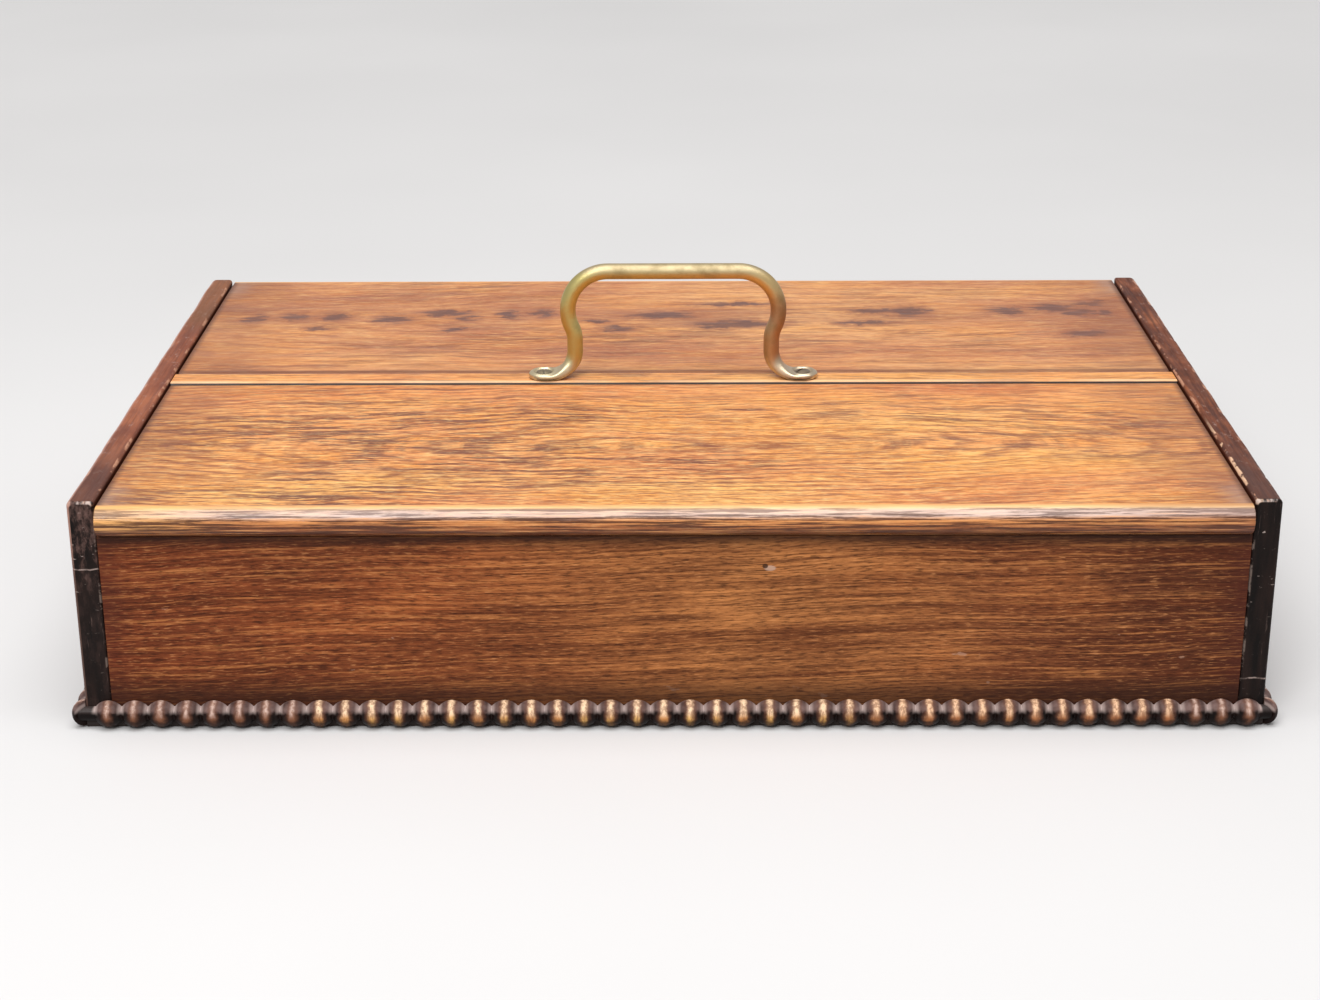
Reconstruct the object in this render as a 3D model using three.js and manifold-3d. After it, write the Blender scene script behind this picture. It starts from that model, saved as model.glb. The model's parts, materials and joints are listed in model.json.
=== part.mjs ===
// Antique oak cutlery box with two pin-hung lids and a brass bail handle, in millimetres.
// X runs along the length of the box, Y from its front to its back, and Z up from the floor.
// The origin is on the floor, under the middle of the box.

import * as THREE from "three";
import { mergeVertices } from "three/addons/utils/BufferGeometryUtils.js";
import Module from "manifold-3d";

const wasm = await Module();
wasm.setup();

// Case: two end panels, front and back walls between them, a base board under all four
const CASE_WIDTH = 420; // over the end panels
const CASE_DEPTH = 282; // length of an end panel
const CASE_HEIGHT = 86; // floor to the top of the end panels
const END_THICKNESS = 9.5;
const END_CORNER_RADIUS = 1.2;
const WALL_THICKNESS = 9.5;
const BASE_THICKNESS = 6;
const PARTITION_THICKNESS = 9.5;
const HOUSING_DEPTH = 3; // how far the partition is let into each end panel
const GLUE_LINE = 0.1; // between two faces that are glued
const FIT_GAP = 0.3; // round a fastener in its hole

// Rail that caps the partition between the two lids and carries the handle
const RAIL_WIDTH = 12.7;
const RAIL_THICKNESS = 10;
const RAIL_PROUD = 0.3; // above the lids
const RAIL_EDGE_RADIUS = 1.5;

// Lids: boards with a full round nosing on the outer edge, each on two pins near the inner edge
const LID_THICKNESS = 11;
const LID_BELOW_ENDS = 1.5; // lid top below the end panels' top
const LID_OVERHANG = 5; // nosing beyond the wall
const LID_END_GAP = 0.7;
const LID_SEAT_GAP = 0.3; // closed lid above its wall
const LID_ARRIS_RADIUS = 1.5; // along the inner edge
const SEAM_GAP = 1; // between a lid and the rail
const PIN_RADIUS = 1.5;
const PIN_INSET = 13; // from the lid's inner edge
const PIN_REACH = 12; // into the lid's end grain
const PIN_END_PLAY = 0.5;

// Half-round bead moulding round the foot of the case
const BEAD_RADIUS = 5;
const BEAD_PITCH = 9.4;
const BEAD_NECK_RADIUS = 2.7;
const BEAD_NECK_LENGTH = 0.4;
const LONG_STRIP_MARGIN = 2.6; // plain length between the last bead and a corner, front and back
const LONG_STRIP_SHIFT = 1; // how far the beads of a long strip lie towards its right corner
const SHORT_STRIP_MARGIN = -4.2; // the last bead of an end strip runs past its corner and is mitred
const BEAD_LIFT = 0.3; // moulding clear of the floor
const MITRE_GAP = 0.3;

// Bail handle: one brass rod, bent and flattened at its feet
const ROD_RADIUS = 3.175;
const BAIL_RISE = 43.7; // middle of the bar above the rail
const BAR_HALF_LENGTH = 25.7; // straight part of the bar, from its middle
const SHOULDER_RADIUS = 16;
const SHOULDER_LEAN = THREE.MathUtils.degToRad(25); // how far the legs lean in below the shoulders
const WAIST_RADIUS = 12.5;
const ANKLE_RADIUS = 10;
const FOOT_THICKNESS = 2.4;
const FOOT_WIDTH = 12;
const FOOT_FLAT = 2.6; // straight length before the screw
const FLATTENED_LENGTH = 9; // from the tip of a foot
const ROUND_AGAIN_LENGTH = 21; // from the tip of a foot
const TIP_WIDTH_SHARE = 0.1; // of a foot's width, at the very tip

// Fasteners
const HANDLE_SCREW = { length: 21, shankRadius: 1.5, headRadius: 3, headDepth: 1.5, dome: 0.8, tip: 3 };
const BASE_SCREW = { length: 22, shankRadius: 1.5, headRadius: 3, headDepth: 1.8, dome: 0, tip: 3 };
const SLOT_WIDTH = 0.8;
const SLOT_DEPTH = 0.8;
const BASE_SCREW_SINK = 0.3;
const NAIL = { length: 25, shankRadius: 0.8, headRadius: 1.3, headDepth: 1, tip: 2 };
const NAIL_SINK = 0.3; // punched below the face of the end panel
const WALL_NAILS = 2; // at each end of each wall
const WALL_SCREWS = 2; // under each wall
const END_SCREWS = 2; // under each end panel

const OVERRUN = 1; // how far a cutter runs past the face it opens

// Facets
const ARC_STEPS = 6; // in a quarter or half round
const LEG_ARC_STEPS = 10; // in a shoulder or ankle of the handle
const WAIST_ARC_STEPS = 3;
const ROD_SIDES = 16;
const PIN_SIDES = 12;
const SCREW_SIDES = 10;
const NAIL_SIDES = 6;
const BEAD_SIDES = 6; // round the half circle
const BEAD_STEPS = 4; // along each bead

// Places worked out from the sizes above
const innerHalfWidth = CASE_WIDTH / 2 - END_THICKNESS;
const endX = CASE_WIDTH / 2 - END_THICKNESS / 2;
const wallY = CASE_DEPTH / 2 - WALL_THICKNESS / 2;
const boardBottom = BASE_THICKNESS + GLUE_LINE;
const lidTop = CASE_HEIGHT - LID_BELOW_ENDS;
const lidMiddle = lidTop - LID_THICKNESS / 2;
const wallTop = lidTop - LID_THICKNESS - LID_SEAT_GAP;
const railTop = lidTop + RAIL_PROUD;
const railBottom = railTop - RAIL_THICKNESS;
const partitionTop = railBottom - GLUE_LINE;
const lidHalfLength = innerHalfWidth - LID_END_GAP;
const pinY = RAIL_WIDTH / 2 + SEAM_GAP + PIN_INSET;
const lidReach = CASE_DEPTH / 2 + LID_OVERHANG - LID_THICKNESS / 2 - pinY; // pin to the centre of the nosing
const footMiddle = FOOT_THICKNESS / 2 + GLUE_LINE; // middle of a foot above the rail
const footTop = FOOT_THICKNESS + GLUE_LINE;
const bendDrop =
  SHOULDER_RADIUS + (SHOULDER_RADIUS + WAIST_RADIUS) * Math.sin(SHOULDER_LEAN) + ANKLE_RADIUS;
const shinLength = BAIL_RISE - footMiddle - bendDrop; // upright part between waist and ankle
const handleScrewX =
  BAR_HALF_LENGTH + (SHOULDER_RADIUS + WAIST_RADIUS) * Math.cos(SHOULDER_LEAN) - WAIST_RADIUS +
  ANKLE_RADIUS + FOOT_FLAT;

const oak = { color: 0xb06f35, roughness: 0.45, metalness: 0 };
const stainedWood = { color: 0x6b3519, roughness: 0.5, metalness: 0 };
const darkWood = { color: 0x4a2418, roughness: 0.5, metalness: 0 };
const plainWood = { color: 0x9a7448, roughness: 0.8, metalness: 0 };
const beadWood = { color: 0x3a241a, roughness: 0.4, metalness: 0 };
const agedBrass = { color: 0xa08a4c, roughness: 0.4, metalness: 1 };
const steel = { color: 0x5d5852, roughness: 0.5, metalness: 1 };

// A closed geometry as a solid that can be cut, with the triangles that have no area left out.
function toSolid(geometry) {
  const bare = geometry.index ? geometry.toNonIndexed() : geometry.clone();
  bare.deleteAttribute("normal");
  bare.deleteAttribute("uv");
  const merged = mergeVertices(bare);
  const corners = merged.index.array;
  const triangles = [];
  for (let i = 0; i < corners.length; i += 3) {
    const [a, b, c] = corners.slice(i, i + 3);
    if (a !== b && b !== c && c !== a) triangles.push(a, b, c);
  }
  return new wasm.Manifold(
    new wasm.Mesh({
      numProp: 3,
      vertProperties: merged.attributes.position.array,
      triVerts: new Uint32Array(triangles),
    }),
  );
}

// The geometry with every cutter taken out of it.
function cut(geometry, cutters = []) {
  const solid = cutters.reduce((rest, cutter) => rest.subtract(toSolid(cutter)), toSolid(geometry));
  const mesh = solid.getMesh();
  const result = new THREE.BufferGeometry();
  result.setAttribute("position", new THREE.BufferAttribute(mesh.vertProperties, 3));
  result.setIndex(new THREE.BufferAttribute(mesh.triVerts, 1));
  result.computeVertexNormals();
  return result;
}

// A box between two corners.
function block(low, high) {
  const [width, depth, height] = high.map((value, i) => value - low[i]);
  const [x, y, z] = high.map((value, i) => (value + low[i]) / 2);
  return new THREE.BoxGeometry(width, depth, height).translate(x, y, z);
}

// A prism of a (y, z) outline, centred on x = 0.
function prismAlongX(outline, length) {
  const geometry = new THREE.ExtrudeGeometry(outline, {
    depth: length,
    bevelEnabled: false,
    curveSegments: ARC_STEPS,
  });
  geometry.applyMatrix4(
    new THREE.Matrix4().makeBasis(
      new THREE.Vector3(0, 1, 0),
      new THREE.Vector3(0, 0, 1),
      new THREE.Vector3(1, 0, 0),
    ),
  );
  return geometry.translate(-length / 2, 0, 0);
}

// A (y, z) outline with a flat foot and its two upper corners rounded.
function roundShoulderedOutline(halfWidth, bottom, top, radius) {
  const outline = new THREE.Shape();
  outline.moveTo(-halfWidth, bottom);
  outline.lineTo(halfWidth, bottom);
  outline.lineTo(halfWidth, top - radius);
  outline.absarc(halfWidth - radius, top - radius, radius, 0, Math.PI / 2);
  outline.lineTo(-halfWidth + radius, top);
  outline.absarc(-halfWidth + radius, top - radius, radius, Math.PI / 2, Math.PI);
  return outline;
}

// A solid turned round Y from (radius, y) points that start and end on the axis, lowest first.
function turned(points, sides) {
  return new THREE.LatheGeometry(
    points.map(([radius, y]) => new THREE.Vector2(radius, y)),
    sides,
  );
}

// A solid skinned over rings of points, each ring a closed convex outline seen anticlockwise from the end.
function skinned(rings) {
  const sides = rings[0].length;
  const last = (rings.length - 1) * sides;
  const index = [];
  for (let start = 0; start < last; start += sides)
    for (let k = 0; k < sides; k++) {
      const a = start + k;
      const b = start + ((k + 1) % sides);
      index.push(a, b, b + sides, a, b + sides, a + sides);
    }
  for (let k = 1; k + 1 < sides; k++) index.push(0, k + 1, k, last, last + k, last + k + 1);
  return new THREE.BufferGeometry().setFromPoints(rings.flat()).setIndex(index);
}

// Middles of count equal shares of the stretch between two places.
function spread(count, from, to) {
  return Array.from({ length: count }, (_, i) => from + ((to - from) * (i + 1 / 2)) / count);
}

// A nail along X, with its head at x = 0 and its point towards -X.
function nail() {
  const { length, shankRadius, headRadius, headDepth, tip } = NAIL;
  const points = [
    [0, -length],
    [shankRadius, -length + tip],
    [shankRadius, -headDepth],
    [headRadius, -headDepth],
    [headRadius, 0],
    [0, 0],
  ];
  return turned(points, NAIL_SIDES).rotateZ(-Math.PI / 2);
}

// The hole that such a nail goes in.
function nailHole() {
  const shank = NAIL.shankRadius + FIT_GAP;
  const head = NAIL.headRadius + FIT_GAP;
  const points = [
    [0, -NAIL.length - FIT_GAP],
    [shank, -NAIL.length - FIT_GAP],
    [shank, -NAIL.headDepth - FIT_GAP],
    [head, -NAIL.headDepth - FIT_GAP],
    [head, OVERRUN],
    [0, OVERRUN],
  ];
  return turned(points, NAIL_SIDES).rotateZ(-Math.PI / 2);
}

// A slotted countersunk screw along Y, with its head at y = 0 and its point at y = length.
function screw({ length, shankRadius, headRadius, headDepth, dome, tip }) {
  const crown = dome ? [[0, -dome], [headRadius * Math.SQRT1_2, -dome * Math.SQRT1_2]] : [[0, 0]];
  const points = [
    ...crown,
    [headRadius, 0],
    [shankRadius, headDepth],
    [shankRadius, length - tip],
    [0, length],
  ];
  const slot = block(
    [-headRadius - OVERRUN, -dome - OVERRUN, -SLOT_WIDTH / 2],
    [headRadius + OVERRUN, SLOT_DEPTH - dome, SLOT_WIDTH / 2],
  );
  return cut(turned(points, SCREW_SIDES), [slot]);
}

// The countersunk hole that such a screw goes in, open past the head.
function screwHole({ length, shankRadius, headRadius, headDepth }) {
  const head = headRadius + FIT_GAP;
  const shank = shankRadius + FIT_GAP;
  const points = [
    [0, -OVERRUN],
    [head, -OVERRUN],
    [head, 0],
    [shank, headDepth],
    [shank, length + FIT_GAP],
    [0, length + FIT_GAP],
  ];
  return turned(points, SCREW_SIDES);
}

// Where the nails go through an end panel, as (y, z), and what each one holds.
const nailSpots = [
  ...spread(WALL_NAILS, boardBottom, wallTop).flatMap((z, i) => [
    { holds: `front_${i + 1}`, y: -wallY, z },
    { holds: `back_${i + 1}`, y: wallY, z },
  ]),
  { holds: "partition", y: 0, z: (boardBottom + partitionTop) / 2 },
  { holds: "rail", y: 0, z: (railBottom + railTop) / 2 },
];

// Where the screws go up through the base board, as (x, y).
const baseScrewSpots = [
  ...spread(WALL_SCREWS, -innerHalfWidth, innerHalfWidth).flatMap((x, i) => [
    { under: `front_${i + 1}`, x, y: -wallY },
    { under: `back_${i + 1}`, x, y: wallY },
  ]),
  ...spread(END_SCREWS, -wallY, wallY).flatMap((y, i) => [
    { under: `left_${i + 1}`, x: -endX, y },
    { under: `right_${i + 1}`, x: endX, y },
  ]),
];

function baseScrewHole(x, y) {
  return screwHole(BASE_SCREW).rotateX(Math.PI / 2).translate(x, y, BASE_SCREW_SINK);
}

function handleScrewHole(x) {
  return screwHole(HANDLE_SCREW).rotateX(-Math.PI / 2).translate(x, 0, railTop + footTop);
}

// An end panel, with its outer face towards +X and its middle plane at x = 0.
function endPanel() {
  const outline = roundShoulderedOutline(CASE_DEPTH / 2, boardBottom, CASE_HEIGHT, END_CORNER_RADIUS);
  const housing = block(
    [-END_THICKNESS / 2 - OVERRUN, -PARTITION_THICKNESS / 2 - GLUE_LINE, boardBottom - OVERRUN],
    [-END_THICKNESS / 2 + HOUSING_DEPTH, PARTITION_THICKNESS / 2 + GLUE_LINE, partitionTop + GLUE_LINE],
  );
  const pinHoles = [-pinY, pinY].map((y) =>
    new THREE.CylinderGeometry(
      PIN_RADIUS + FIT_GAP,
      PIN_RADIUS + FIT_GAP,
      END_THICKNESS + 2 * OVERRUN,
      PIN_SIDES,
    )
      .rotateZ(Math.PI / 2)
      .translate(0, y, lidMiddle),
  );
  const nailHoles = nailSpots.map(({ y, z }) => nailHole().translate(END_THICKNESS / 2 - NAIL_SINK, y, z));
  const screwHoles = spread(END_SCREWS, -wallY, wallY).map((y) => baseScrewHole(0, y));
  return cut(prismAlongX(outline, END_THICKNESS), [housing, ...pinHoles, ...nailHoles, ...screwHoles]);
}

// Holes for the nails that reach a crosswise board from both ends of the case, at its middle plane.
function crosswiseNailHoles(heights) {
  const headX = CASE_WIDTH / 2 - NAIL_SINK;
  return heights.flatMap((z) => [
    nailHole().translate(headX, 0, z),
    nailHole().rotateZ(Math.PI).translate(-headX, 0, z),
  ]);
}

// The front or back wall, with its middle plane at y = 0.
function wall() {
  const halfLength = innerHalfWidth - GLUE_LINE;
  const board = block(
    [-halfLength, -WALL_THICKNESS / 2, boardBottom],
    [halfLength, WALL_THICKNESS / 2, wallTop],
  );
  const screwHoles = spread(WALL_SCREWS, -innerHalfWidth, innerHalfWidth).map((x) => baseScrewHole(x, 0));
  return cut(board, [
    ...crosswiseNailHoles(spread(WALL_NAILS, boardBottom, wallTop)),
    ...screwHoles,
  ]);
}

function baseBoard() {
  const board = block(
    [-CASE_WIDTH / 2, -CASE_DEPTH / 2, 0],
    [CASE_WIDTH / 2, CASE_DEPTH / 2, BASE_THICKNESS],
  );
  return cut(board, baseScrewSpots.map(({ x, y }) => baseScrewHole(x, y)));
}

// The partition between the two compartments, let into both end panels.
function partition() {
  const halfLength = innerHalfWidth + HOUSING_DEPTH - GLUE_LINE;
  const board = block(
    [-halfLength, -PARTITION_THICKNESS / 2, boardBottom],
    [halfLength, PARTITION_THICKNESS / 2, partitionTop],
  );
  return cut(board, [
    ...crosswiseNailHoles([(boardBottom + partitionTop) / 2]),
    handleScrewHole(-handleScrewX),
    handleScrewHole(handleScrewX),
  ]);
}

function rail() {
  const outline = roundShoulderedOutline(RAIL_WIDTH / 2, railBottom, railTop, RAIL_EDGE_RADIUS);
  return cut(prismAlongX(outline, 2 * (innerHalfWidth - GLUE_LINE)), [
    ...crosswiseNailHoles([(railBottom + railTop) / 2]),
    handleScrewHole(-handleScrewX),
    handleScrewHole(handleScrewX),
  ]);
}

// A lid, with its pins' axis on X and its nosing towards -Y.
function lid() {
  const half = LID_THICKNESS / 2;
  const arrisY = PIN_INSET - LID_ARRIS_RADIUS;
  const arrisZ = half - LID_ARRIS_RADIUS;
  const outline = new THREE.Shape();
  outline.absarc(-lidReach, 0, half, Math.PI / 2, (3 * Math.PI) / 2);
  outline.absarc(arrisY, -arrisZ, LID_ARRIS_RADIUS, -Math.PI / 2, 0);
  outline.absarc(arrisY, arrisZ, LID_ARRIS_RADIUS, 0, Math.PI / 2);
  const holeDepth = PIN_REACH + PIN_END_PLAY;
  const holes = [-1, 1].map((side) =>
    new THREE.CylinderGeometry(PIN_RADIUS + FIT_GAP, PIN_RADIUS + FIT_GAP, holeDepth + OVERRUN, PIN_SIDES)
      .rotateZ(Math.PI / 2)
      .translate(side * (lidHalfLength - (holeDepth - OVERRUN) / 2), 0, 0),
  );
  return cut(prismAlongX(outline, 2 * lidHalfLength), holes);
}

// A hinge pin, from the outer face of an end panel at x = 0 towards -X into the lid.
function hingePin() {
  const length = END_THICKNESS + LID_END_GAP + PIN_REACH;
  return new THREE.CylinderGeometry(PIN_RADIUS, PIN_RADIUS, length, PIN_SIDES)
    .rotateZ(Math.PI / 2)
    .translate(-length / 2, 0, 0);
}

// One side of the bead moulding: half of a turned string of beads, with its flat back at y = 0.
// The beads stand towards -Y, shifted along the strip, and both ends are mitred.
function beadStrip(length, margin, shift) {
  const run = length - 2 * margin;
  const count = Math.max(1, Math.round(run / BEAD_PITCH));
  const pitch = run / count;
  const neckLength = (BEAD_NECK_LENGTH / BEAD_PITCH) * pitch;
  const halfBead = (pitch - neckLength) / 2;
  const rise = BEAD_RADIUS - BEAD_NECK_RADIUS;
  const arcRadius = (halfBead ** 2 + rise ** 2) / (2 * rise);
  const ring = (radius, place) =>
    Array.from({ length: BEAD_SIDES + 1 }, (_, k) => {
      const angle = Math.PI * (1 + k / BEAD_SIDES);
      return new THREE.Vector3(place, radius * Math.sin(angle), -radius * Math.cos(angle));
    });
  const beyond = Math.max(length, run) / 2 + BEAD_RADIUS + OVERRUN;
  const rings = [ring(BEAD_NECK_RADIUS, -beyond)];
  for (const middle of spread(count, shift - run / 2, shift + run / 2))
    for (let step = 0; step <= BEAD_STEPS; step++) {
      const along = halfBead * ((2 * step) / BEAD_STEPS - 1);
      const radius = BEAD_RADIUS - arcRadius + Math.sqrt(arcRadius ** 2 - along ** 2);
      rings.push(ring(radius, middle + along));
    }
  rings.push(ring(BEAD_NECK_RADIUS, beyond));
  const reach = 4 * BEAD_RADIUS;
  const waste = () => block([0, -reach, -reach], [reach, reach, reach]); // what a mitre takes off
  const corner = length / 2 - MITRE_GAP;
  return cut(skinned(rings), [
    waste().rotateZ(Math.PI / 4).translate(corner, 0, 0),
    waste().rotateZ((3 * Math.PI) / 4).translate(-corner, 0, 0),
  ]);
}

// Stations along half of the handle, from the middle of the bar to the tip of a foot.
// Each has its place, the direction in which the rod runs there, and the length of rod so far.
function legStations() {
  const stations = [];
  const here = { x: 0, z: BAIL_RISE, heading: 0, travelled: 0 };
  const straight = (length) => {
    here.x += length * Math.cos(here.heading);
    here.z += length * Math.sin(here.heading);
    here.travelled += length;
    stations.push({ ...here });
  };
  const bend = (radius, turn, steps) => {
    const left = Math.sign(turn);
    const centreX = here.x - left * radius * Math.sin(here.heading);
    const centreZ = here.z + left * radius * Math.cos(here.heading);
    for (let i = 0; i < steps; i++) {
      here.heading += turn / steps;
      here.x = centreX + left * radius * Math.sin(here.heading);
      here.z = centreZ - left * radius * Math.cos(here.heading);
      here.travelled += (radius * Math.abs(turn)) / steps;
      stations.push({ ...here });
    }
  };
  straight(BAR_HALF_LENGTH);
  bend(SHOULDER_RADIUS, -Math.PI / 2 - SHOULDER_LEAN, LEG_ARC_STEPS);
  bend(WAIST_RADIUS, SHOULDER_LEAN, WAIST_ARC_STEPS);
  straight(shinLength);
  bend(ANKLE_RADIUS, Math.PI / 2, LEG_ARC_STEPS);
  straight(FOOT_FLAT);
  for (let i = 1; i <= ARC_STEPS; i++) {
    const reached = (step) => (FOOT_WIDTH / 2) * Math.sin(((Math.PI / 2) * step) / ARC_STEPS);
    straight(reached(i) - reached(i - 1));
  }
  return stations;
}

// The rod's outline at a station: round on the legs, wide and flat on the feet, with a round tip.
function rodRing({ x, z, heading }, fromTip) {
  const footRadius = FOOT_WIDTH / 2;
  const flatness = 1 - THREE.MathUtils.smoothstep(fromTip, FLATTENED_LENGTH, ROUND_AGAIN_LENGTH);
  const intoTip = Math.max(0, footRadius - fromTip);
  const tipShare = Math.sqrt(Math.max(0, 1 - (intoTip / footRadius) ** 2));
  const half = THREE.MathUtils.lerp(ROD_RADIUS, footRadius, flatness) * Math.max(tipShare, TIP_WIDTH_SHARE);
  const thick = THREE.MathUtils.lerp(ROD_RADIUS, FOOT_THICKNESS / 2, flatness);
  const power = THREE.MathUtils.lerp(1, 1 / 2, flatness);
  return Array.from({ length: ROD_SIDES }, (_, k) => {
    const angle = (2 * Math.PI * k) / ROD_SIDES;
    const across = half * Math.sign(Math.cos(angle)) * Math.abs(Math.cos(angle)) ** power;
    const up = thick * Math.sign(Math.sin(angle)) * Math.abs(Math.sin(angle)) ** power;
    return new THREE.Vector3(x - up * Math.sin(heading), across, z + up * Math.cos(heading));
  });
}

// The handle, with the top of the rail at z = 0.
function bail() {
  const leg = legStations();
  const tip = leg.at(-1).travelled;
  const right = leg.map((station) => rodRing(station, tip - station.travelled));
  const left = right.map((ring) => ring.map((p) => new THREE.Vector3(-p.x, p.y, p.z))).reverse();
  const holes = [-handleScrewX, handleScrewX].map((x) => handleScrewHole(x).translate(0, 0, -railTop));
  return cut(skinned([...left, ...right]), holes);
}

const box = new THREE.Group();

// Adds a named mesh to a group and returns the mesh.
function add(group, name, geometry, finish) {
  const mesh = new THREE.Mesh(geometry, new THREE.MeshStandardMaterial(finish));
  mesh.name = name;
  group.add(mesh);
  return mesh;
}

function addCase() {
  const carcase = new THREE.Group();
  const end = endPanel();
  add(carcase, "right_end_panel", end, darkWood).position.x = endX;
  const leftEnd = add(carcase, "left_end_panel", end, darkWood);
  leftEnd.position.x = -endX;
  leftEnd.rotation.z = Math.PI;
  const board = wall();
  add(carcase, "front_panel", board, stainedWood).position.y = -wallY;
  const back = add(carcase, "back_panel", board, stainedWood);
  back.position.y = wallY;
  back.rotation.z = Math.PI;
  add(carcase, "base_board", baseBoard(), plainWood);
  add(carcase, "centre_partition", partition(), plainWood);
  add(carcase, "centre_rail", rail(), oak);
  box.add(carcase);
}

function addLids() {
  const board = lid();
  const pin = hingePin();
  for (const [name, side] of [["front", -1], ["back", 1]]) {
    const hung = new THREE.Group();
    hung.position.set(0, side * pinY, lidMiddle);
    hung.rotation.z = side < 0 ? 0 : Math.PI;
    add(hung, `${name}_lid`, board, oak);
    const near = side < 0 ? "right" : "left";
    const far = side < 0 ? "left" : "right";
    add(hung, `${name}_lid_pin_${near}`, pin, agedBrass).position.x = CASE_WIDTH / 2;
    const farPin = add(hung, `${name}_lid_pin_${far}`, pin, agedBrass);
    farPin.position.x = -CASE_WIDTH / 2;
    farPin.rotation.z = Math.PI;
    box.add(hung);
  }
}

function addBeading() {
  const beading = new THREE.Group();
  beading.position.z = BEAD_LIFT + BEAD_RADIUS;
  const long = beadStrip(CASE_WIDTH, LONG_STRIP_MARGIN, LONG_STRIP_SHIFT);
  const short = beadStrip(CASE_DEPTH, SHORT_STRIP_MARGIN, 0);
  const sides = [
    { name: "front_bead_strip", strip: long, turn: 0, out: CASE_DEPTH / 2 },
    { name: "right_bead_strip", strip: short, turn: Math.PI / 2, out: CASE_WIDTH / 2 },
    { name: "back_bead_strip", strip: long, turn: Math.PI, out: CASE_DEPTH / 2 },
    { name: "left_bead_strip", strip: short, turn: -Math.PI / 2, out: CASE_WIDTH / 2 },
  ];
  for (const { name, strip, turn, out } of sides) {
    const mesh = add(beading, name, strip, beadWood);
    const away = out + GLUE_LINE;
    mesh.position.set(away * Math.sin(turn), -away * Math.cos(turn), 0);
    mesh.rotation.z = turn;
  }
  box.add(beading);
}

function addHandle() {
  const handle = new THREE.Group();
  handle.position.z = railTop;
  add(handle, "handle", bail(), agedBrass);
  const geometry = screw(HANDLE_SCREW).rotateX(-Math.PI / 2);
  for (const [name, x] of [["left", -handleScrewX], ["right", handleScrewX]]) {
    const mesh = add(handle, `handle_screw_${name}`, geometry, agedBrass);
    mesh.position.set(x, 0, footTop);
  }
  box.add(handle);
}

function addFasteners() {
  const fasteners = new THREE.Group();
  const upward = screw(BASE_SCREW).rotateX(Math.PI / 2);
  for (const { under, x, y } of baseScrewSpots)
    add(fasteners, `base_screw_${under}`, upward, steel).position.set(x, y, BASE_SCREW_SINK);
  const shape = cut(nail());
  const headX = CASE_WIDTH / 2 - NAIL_SINK;
  for (const { holds, y, z } of nailSpots) {
    add(fasteners, `right_nail_${holds}`, shape, steel).position.set(headX, y, z);
    const left = add(fasteners, `left_nail_${holds}`, shape, steel);
    left.position.set(-headX, y, z);
    left.rotation.z = Math.PI;
  }
  box.add(fasteners);
}

addCase();
addLids();
addBeading();
addHandle();
addFasteners();

export default box;
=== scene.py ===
"""Looks of the antique oak cutlery box: worn boards, turned beading and a brass bail handle.

Metres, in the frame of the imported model: X along the box, Y from front to back, Z up.
"""

import json
import math

import bpy
from mathutils import Matrix, Vector, noise

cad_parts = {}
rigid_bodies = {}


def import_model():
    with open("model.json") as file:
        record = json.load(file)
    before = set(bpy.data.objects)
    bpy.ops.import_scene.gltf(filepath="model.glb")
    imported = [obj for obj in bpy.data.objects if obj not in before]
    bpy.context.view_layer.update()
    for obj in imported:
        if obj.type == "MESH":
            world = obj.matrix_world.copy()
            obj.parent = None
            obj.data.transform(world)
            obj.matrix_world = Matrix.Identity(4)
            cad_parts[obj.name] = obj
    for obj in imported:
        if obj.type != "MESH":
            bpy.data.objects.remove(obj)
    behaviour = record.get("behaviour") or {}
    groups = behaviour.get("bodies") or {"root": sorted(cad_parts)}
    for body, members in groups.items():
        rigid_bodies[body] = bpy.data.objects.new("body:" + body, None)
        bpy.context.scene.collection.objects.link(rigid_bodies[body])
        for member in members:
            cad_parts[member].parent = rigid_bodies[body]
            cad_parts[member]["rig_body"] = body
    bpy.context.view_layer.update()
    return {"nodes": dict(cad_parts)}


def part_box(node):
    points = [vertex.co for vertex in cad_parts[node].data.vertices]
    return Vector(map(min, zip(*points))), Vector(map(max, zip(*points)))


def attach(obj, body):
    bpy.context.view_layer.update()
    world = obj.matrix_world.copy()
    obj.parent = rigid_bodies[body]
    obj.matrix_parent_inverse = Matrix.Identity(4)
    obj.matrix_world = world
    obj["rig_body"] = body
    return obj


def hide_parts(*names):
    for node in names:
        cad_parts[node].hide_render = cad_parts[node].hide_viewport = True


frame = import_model()

MM = 0.001
GLUE_GAP = 0.1 * MM
SHARP_ANGLE = math.radians(40)

# Boards
STATION_STEP = 1.6 * MM  # between the sections along a board
SUPPORT = 1.2 * MM  # from a rounded arris to the next line of points on the flat
ARC_STEP = 0.45 * MM  # along a rounded arris
END_ARC_STEPS = 4
WEAR_LENGTH = 22 * MM  # of a worn stretch on an arris
WEAR_SHARE = 0.35  # of an arris radius
CORNER_LIMIT = 0.49  # most of a board's thickness that a rounded arris takes up
LEAD_LIMIT = 0.3  # most of a flat that lies between an arris and its line of support
CHIP_LENGTH = 5 * MM
CHIP_THRESHOLD = 0.3
CHIP_DEPTH = 2.2 * MM

# Fasteners
HOLE_GAP = 0.3 * MM
HOLE_OPENING = 1 * MM  # how far a bore runs out past a head
TURNED_SIDES = 24
SLOT_WIDTH = 0.8 * MM
SLOT_DEPTH = 0.8 * MM
SLOT_REACH = 4 * MM  # past the middle of a head
FIRST_SLOT_TURN = 35  # degrees, of the first screw
NEXT_SLOT_TURN = 57  # degrees more for each fastener

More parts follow.
